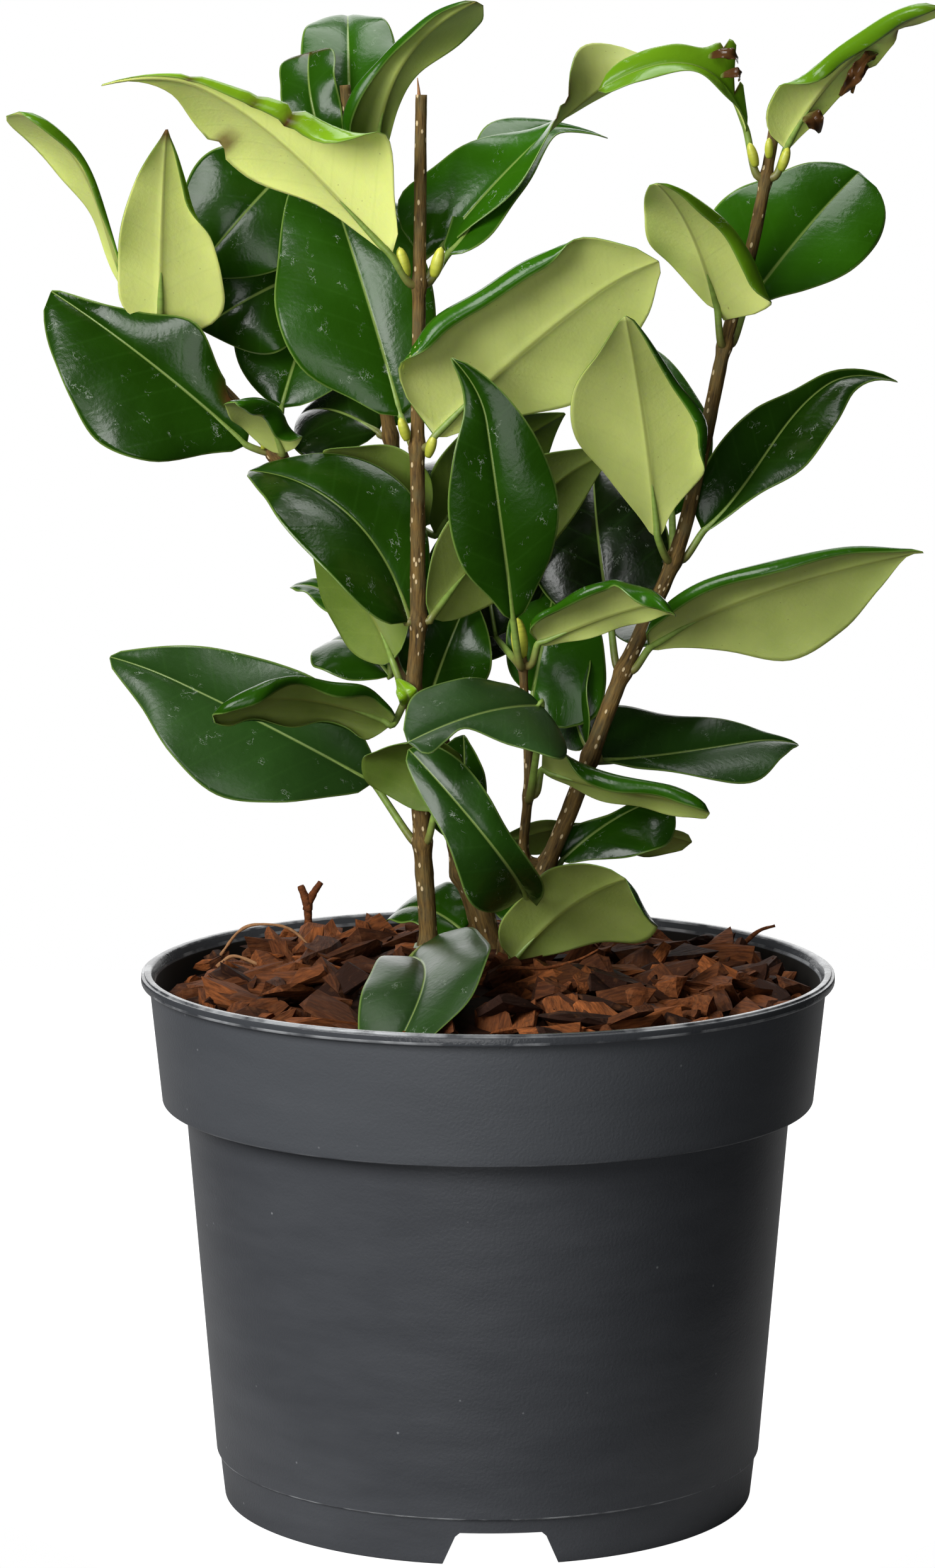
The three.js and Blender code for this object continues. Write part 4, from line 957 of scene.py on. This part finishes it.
# Edges worn pale and painted with highlights: the lip's two edges, the collar's foot and the seam of the
# skirt
scuffs_and_glints = add("TexNoise", {"Vector": place, "Scale": 0.11, "Detail": 3.0})
scuffs_and_glints = add("MapRange", (scuffs_and_glints, 0.42, 0.62))
for level, spread, strength in ((131.3, 0.35, 0.8), (129.3, 0.35, 0.7), (99.6, 0.35, 0.12), (11.6, 0.3, 0.8)):
    near = add("Math", (height, level, spread), operation="COMPARE")
    worn_and_highlit = add("Math", (near, scuffs_and_glints), operation="MULTIPLY")
    worn_and_highlit = add("Math", (worn_and_highlit, strength), operation="MULTIPLY")
    plastic = add("Mix", {"Factor": worn_and_highlit, "A": plastic, "B": colour("#a2a4a6")}, data_type="RGBA")
feed(shader, {"Base Color": plastic})
dull = add("MapRange", {0: lip, 3: 0.42, 4: 0.25})
feed(shader, {"Roughness": dull})
pebble = add("TexNoise", {"Vector": place, "Scale": 1.4, "Detail": 2.0})
bump = add("Bump", {"Strength": 0.4, "Distance": 0.0002, "Height": pebble})
feed(shader, {"Normal": bump})
# Inside, the same plastic is stained by peat and painted darker as the shade inside the pot
stain_and_shade, add, shader = material("peat_stain_and_painted_shade", Roughness=0.7, Specular_IOR_Level=0.2)
here = add("TexCoord", {}, "Object")
stain_and_shade_noise = add("TexNoise", {"Vector": here, "Scale": 90.0, "Detail": 3.0})
stain_and_shade_colour = add("Mix", {"Factor": stain_and_shade_noise, "A": colour("#141210"), "B": colour("#26231f")}, data_type="RGBA")
feed(shader, {"Base Color": stain_and_shade_colour})
print("pot finishes made")

# %% Pot profile
LIP_RADIUS, LIP_TOP, LIP_HEIGHT, LIP_WIDTH = 85, 131.5, 2.7, 2.4
COLLAR_TOP_RADIUS, COLLAR_FOOT_RADIUS, COLLAR_FOOT = 83, 80, 99.5
BODY_TOP_RADIUS, SEAM_RADIUS, SEAM_HEIGHT = 74.4, 67.3, 11.6
SKIRT_TOP_RADIUS, FOOT_RADIUS, WALL = 66.6, 65.3, 1.6
FLOOR_UNDERSIDE, FLOOR_TOP = 9.4, 11.4
POT_SIDES = 180
POT_PROFILE = [
    (0, FLOOR_UNDERSIDE, 0), (SKIRT_TOP_RADIUS - WALL, FLOOR_UNDERSIDE, 1.0), (FOOT_RADIUS - WALL, 0, 0.4),
    (FOOT_RADIUS, 0, 0.5), (SKIRT_TOP_RADIUS, SEAM_HEIGHT, 0.15), (SEAM_RADIUS, SEAM_HEIGHT, 0.25),
    (BODY_TOP_RADIUS, COLLAR_FOOT, 1.0), (COLLAR_FOOT_RADIUS, COLLAR_FOOT, 0.5),
    (COLLAR_TOP_RADIUS, LIP_TOP - LIP_HEIGHT, 0.3), (LIP_RADIUS, LIP_TOP - LIP_HEIGHT, 0.7),
    (LIP_RADIUS, LIP_TOP - 0.5, 0.4), (LIP_RADIUS - 0.8, LIP_TOP - 0.5, 0.2),
    (LIP_RADIUS - 0.9, LIP_TOP, 0.3), (LIP_RADIUS - LIP_WIDTH, LIP_TOP, 0.5),
    (COLLAR_TOP_RADIUS - WALL, LIP_TOP - LIP_HEIGHT, 0.5),
    (COLLAR_FOOT_RADIUS - WALL, COLLAR_FOOT + WALL, 1.0), (BODY_TOP_RADIUS - WALL, COLLAR_FOOT + WALL, 0.5),
    (SEAM_RADIUS - WALL, FLOOR_TOP, 1.0), (0, FLOOR_TOP, 0),
]
CORNER_STEPS = 4


def rounded(profile):
    """The profile with each corner replaced by a small curve of its radius."""
    corners = [np.array(p[:2], float) for p in profile]
    line = [corners[0]]
    for before, corner, after, (_, _, radius) in zip(corners, corners[1:], corners[2:], profile[1:]):
        start = corner + unit(before - corner) * min(radius, 0.45 * np.linalg.norm(before - corner))
        end = corner + unit(after - corner) * min(radius, 0.45 * np.linalg.norm(after - corner))
        for u in np.linspace(0, 1, CORNER_STEPS + 1):
            line.append((1 - u) ** 2 * start + 2 * u * (1 - u) * corner + u * u * end)
    return line + [corners[-1]]


def turned(shape, profile, sides):
    """A solid of revolution. The profile starts and ends on the axis."""
    turns = np.linspace(0, 2 * math.pi, sides, endpoint=False)
    points = [(0, 0, profile[0][1])]
    for radius, z in profile[1:-1]:
        points += [(radius * math.cos(a), radius * math.sin(a), z) for a in turns]
    points.append((0, 0, profile[-1][1]))
    faces = []
    rings = len(profile) - 2
    for k in range(sides):
        n = (k + 1) % sides
        faces.append((0, 1 + n, 1 + k))
        for i in range(rings - 1):
            a, b = 1 + i * sides + k, 1 + i * sides + n
            faces.append((a, b, b + sides, a + sides))
        faces.append((1 + (rings - 1) * sides + k, 1 + (rings - 1) * sides + n, len(points) - 1))
    shape.add(points, faces)


print("corners of the pot's profile:", len(POT_PROFILE))

# %% Pot mesh
NOTCHES, NOTCH_HEIGHT, NOTCH_TOP_WIDTH, NOTCH_FOOT_WIDTH, NOTCH_TURN = 3, 8.1, 21, 28, -87.5
DRAINS, DRAIN_RADIUS, DRAIN_CIRCLE, DRAIN_SIDES = 6, 6, 42, 24
NOTCH_REACH = (52, 78)
DRAIN_REACH = (4, 16)
SHARP_FROM = 40
pot_shape = Shape()
turned(pot_shape, rounded(POT_PROFILE), POT_SIDES)
pot = pot_shape.object("nursery_pot", pot_skin, stain_and_shade)


def prism(shape, near, far):
    """A straight cutter between two outlines of the same number of corners."""
    n = len(near)
    faces = [tuple(range(n)), tuple(range(2 * n - 1, n - 1, -1))]
    faces += [((i + 1) % n, i, n + i, n + (i + 1) % n) for i in range(n)]
    shape.add(near + far, faces)


half_top, half_foot = NOTCH_TOP_WIDTH / 2, NOTCH_FOOT_WIDTH / 2
notch = [(-half_foot - 0.6, -2), (half_foot + 0.6, -2), (half_top + 0.3, NOTCH_HEIGHT - 1),
         (half_top - 0.8, NOTCH_HEIGHT), (-half_top + 0.8, NOTCH_HEIGHT), (-half_top - 0.3, NOTCH_HEIGHT - 1)]
cutter_shape = Shape()
for k in range(NOTCHES):
    turn = math.radians(NOTCH_TURN + 360 / NOTCHES * k)
    out = np.array([math.cos(turn), math.sin(turn), 0])
    side = np.array([-math.sin(turn), math.cos(turn), 0])
    prism(cutter_shape, *[[out * r + side * a + np.array([0, 0, z]) for a, z in notch] for r in NOTCH_REACH])
ring = [(DRAIN_RADIUS * math.cos(a), DRAIN_RADIUS * math.sin(a))
        for a in np.linspace(0, 2 * math.pi, DRAIN_SIDES, endpoint=False)]
for k in range(DRAINS):
    turn = math.radians(360 / DRAINS * k)
    centre = np.array([DRAIN_CIRCLE * math.cos(turn), DRAIN_CIRCLE * math.sin(turn), 0])
    prism(cutter_shape, *[[centre + np.array([x, y, z]) for x, y in ring] for z in DRAIN_REACH])
cutter = cutter_shape.object("pot_cutter", smooth=False)
body = bmesh.new()
body.from_mesh(cutter.data)
bmesh.ops.recalc_face_normals(body, faces=body.faces[:])
body.to_mesh(cutter.data)
body.free()
cut = pot.modifiers.new("openings", "BOOLEAN")
cut.object = cutter
cut.solver = "EXACT"
bpy.context.view_layer.update()
finished = bpy.data.meshes.new_from_object(pot.evaluated_get(bpy.context.evaluated_depsgraph_get()))
pot.modifiers.clear()
pot.data = finished
bpy.data.objects.remove(cutter)
# Inner wall faces take the peat stain with painted shade
for face in finished.polygons:
    inwards = face.normal.x * (face.center.x - AXIS[0]) + face.normal.y * (face.center.y - AXIS[1]) < 0
    face.material_index = int(inwards and LIP_TOP - LIP_HEIGHT > face.center.z / MM > FLOOR_TOP)
finished.shade_smooth()
finished.set_sharp_from_angle(angle=math.radians(SHARP_FROM))
settle(pot, "pot", "pot")
print("pot faces:", len(finished.polygons))

# %% [markdown]
# ## Bark mix
# The pot is topped with pine bark: flat angular chips from a thumbnail's length down to splinters, red brown
# where they split and darker on the old outer face. Each chip is the hull of a few seeded points, roughened
# along its fibres, laid on a low mound.

# %% Chip and peat finishes
# Pine bark split along its fibres: dull, red brown, dark in the cracks
chip_skin, add, shader = material("split_pine_bark", Roughness=0.85, Specular_IOR_Level=0.2)
place = add("Attribute", {}, "Vector", attribute_name="grain")
tone = add("Attribute", {}, "Fac", attribute_name="tone")
drawn = add("VectorMath", (place, (0.25, 1.4, 1.4)), operation="MULTIPLY")
fibres = add("TexNoise", {"Vector": drawn, "Scale": 0.9, "Detail": 4.0, "Roughness": 0.6})
cracks = add("MapRange", (fibres, 0.35, 0.7, 0.75, 0.0))
chip = add("Mix", {"Factor": tone, "A": colour("#251208"), "B": colour("#a8602f")}, data_type="RGBA")
spots = add("TexNoise", {"Vector": place, "Scale": 0.35, "Detail": 3.0})
spots = add("MapRange", (spots, 0.55, 0.75, 0.0, 0.5))
for share, tint in ((cracks, "#2a1409"), (spots, "#744a2c")):
    chip = add("Mix", {"Factor": share, "A": chip, "B": colour(tint)}, data_type="RGBA")
feed(shader, {"Base Color": chip})
bump = add("Bump", {"Strength": 0.7, "Distance": 0.0006, "Height": fibres})
feed(shader, {"Normal": bump})

# Peat between the chips: crumbly, nearly black
peat_skin, add, shader = material("crumbled_peat", Roughness=0.95, Specular_IOR_Level=0.1)
here = add("TexCoord", {}, "Object")
place = add("VectorMath", (here, (1000, 1000, 1000)), operation="MULTIPLY")
crumbs = add("TexNoise", {"Vector": place, "Scale": 0.4, "Detail": 4.0})
peat = add("Mix", {"Factor": crumbs, "A": colour("#140b07"), "B": colour("#3a2115")}, data_type="RGBA")
feed(shader, {"Base Color": peat})
print("chip and peat finishes made")

# %% Peat body
MOUND_TOP, MOUND_EDGE, MOUND_FLAT, MIX_RADIUS = 132, 124.5, 40, 79.5
PEAT_DEPTH = 2
PEAT_SIDES = 72


def mound(radius):
    """The height of the chips' bed at a distance from the pot's axis."""
    share = np.clip((radius - MOUND_FLAT) / (MIX_RADIUS - MOUND_FLAT), 0, 1)
    return MOUND_TOP + (MOUND_EDGE - MOUND_TOP) * share ** 1.4


# A little inside the pot's inner wall, and just below the chips on top
peat_shape = Shape()
peat_profile = [(0, 12), (64.5, 12), (72, 100), (77.5, 102), (79.8, MOUND_EDGE - 1)]
peat_profile += [(r, mound(r) - PEAT_DEPTH) for r in np.linspace(79, 4, 16)] + [(0, MOUND_TOP - PEAT_DEPTH)]
turned(peat_shape, peat_profile, PEAT_SIDES)
settle(peat_shape.object("peat", peat_skin), "mix", "potting_mix")
print("peat rings:", len(peat_profile) - 2)

# %% Chips
CHIP_COUNT = 430
CHIP_CORNERS = 13
CHIP_LENGTH, CHIP_THICKNESS, CHIP_ASPECT = (8, 25), (2.5, 6), (0.4, 0.75)
STEEP_SHARE, STEEP_TILT, PLAIN_TILT = 0.25, 0.55, 0.28
CHIP_SPREAD = 77
CHIP_RISE = 6.5
RIM_BAND, RIM_SHARE = 66, 0.7
GOLDEN_ANGLE = 2.39996
LEAF_BED_DROP = 6
chips = Shape()


def chip_hull(length, width, thick):
    """A faceted chip about its own middle, long along x, roughened along its fibres."""
    body = bmesh.new()
    for _ in range(CHIP_CORNERS):
        corner = rng.uniform(-1, 1, 3)
        corner *= 1 / max(np.abs(corner)) ** 0.7
        body.verts.new(corner * np.array([length, width, thick]) / 2)
    bmesh.ops.convex_hull(body, input=body.verts)
    loose = [v for v in body.verts if not v.link_faces]
    bmesh.ops.delete(body, geom=loose, context="VERTS")
    bmesh.ops.subdivide_edges(body, edges=body.edges[:], cuts=1, use_grid_fill=True)
    bmesh.ops.triangulate(body, faces=body.faces[:])
    offset = rng.uniform(-50, 50, 3)
    for vert in body.verts:
        shift = noise.noise_vector(vert.co * 0.45 + Vector(offset))
        vert.co += Vector((shift.x * 0.5, shift.y * 0.6, shift.z * 0.5)) * min(1.0, thick / 3)
    body.verts.index_update()
    points = np.array([v.co[:] for v in body.verts])
    faces = [[v.index for v in f.verts] for f in body.faces]
    body.free()
    return points, faces, offset


def turn_matrix(yaw, pitch, roll):
    """The turn of a chip, in the order in which its angles are drawn."""
    return np.array(Euler((roll, pitch, yaw)).to_matrix())


for i in range(CHIP_COUNT):
    radius = CHIP_SPREAD * math.sqrt((i + 0.5) / CHIP_COUNT) + rng.uniform(-2, 2)
    angle = i * GOLDEN_ANGLE + rng.uniform(-0.3, 0.3)
    length = rng.uniform(*CHIP_LENGTH) * (RIM_SHARE if radius > RIM_BAND else 1)
    width, thick = length * rng.uniform(*CHIP_ASPECT), rng.uniform(*CHIP_THICKNESS)
    points, faces, offset = chip_hull(length, width, thick)
    tilt = STEEP_TILT if rng.random() < STEEP_SHARE else PLAIN_TILT
    spin = turn_matrix(rng.uniform(0, 6.28), rng.normal(0, tilt), rng.normal(0, tilt))
    centre = np.array([radius * math.cos(angle), radius * math.sin(angle), 0])
    centre[2] = mound(radius) + rng.uniform(-1.5, 2.0)
    laid = points @ spin.T + centre
    # Chips under the low front leaf lie deeper
    if -34 < centre[0] < 4 and centre[1] < -10:
        laid[:, 2] -= LEAF_BED_DROP
    laid[:, 2] -= max(0, laid[:, 2].max() - mound(radius) - CHIP_RISE)
    wide = np.hypot(laid[:, 0], laid[:, 1]).max()
    if wide > MIX_RADIUS:
        laid[:, :2] *= MIX_RADIUS / wide
    chips.add(laid, faces, grain=points + offset, tone=float(np.clip(rng.normal(0.37, 0.3), 0, 1)))
settle(chips.object("bark_chips", chip_skin, smooth=False), "mix")
print("chips:", CHIP_COUNT)

# %% Litter
# A forked bark twig, thin roots and dry straw lie on the chips
LITTER = [
    ([(-45.5, 50, 126), (-45.6, 50, 133), (-46, 50, 139), (-47.6, 50, 143.5)], (1.4, 1.0), 0),
    ([(-46, 50, 137), (-44.6, 50, 141), (-42.4, 50, 144.4)], (1.1, 0.8), 0),
    ([(-66.6, 20, 131), (-62, 20, 137), (-57, 20, 138.8), (-49, 20, 137.5), (-42, 18, 131)], (0.4, 0.3), 1),
    ([(-67, 10, 130), (-63, 10, 132.6), (-57, 8, 131), (-51, 8, 128)], (0.5, 0.3), 1),
    ([(-2, -16, 129), (3.2, -18, 134.5), (13.4, -20, 135.2), (21.6, -22, 137.6), (26.5, -24, 140.5)],
     (0.6, 0.25), 0),
    ([(60, 30, 126), (64.4, 30, 131.9), (68.3, 30, 135.4), (72.3, 30, 136.7)], (0.7, 0.4), 0),
]
litter = Shape()
for points, (thick, thin), slot in LITTER:
    line, run = smooth_line(points, 0.7)
    wobble = np.array([1 + 0.35 * noise.noise(Vector((done * 0.6, thick, 0))) for done in run])
    tube(litter, line, run, np.interp(run, [0, run[-1]], [thick, thin]) * wobble, 8, slot, tone=0.5)
settle(litter.object("twigs_and_straw", chip_skin, cut_wood), "mix")
print("pieces of litter:", len(LITTER))

# %% [markdown]
# ## Last step
# The view layer is brought up to date. The dressed plant has to stay close to the imported
# solids' box.

# %% Finish
bpy.context.view_layer.update()
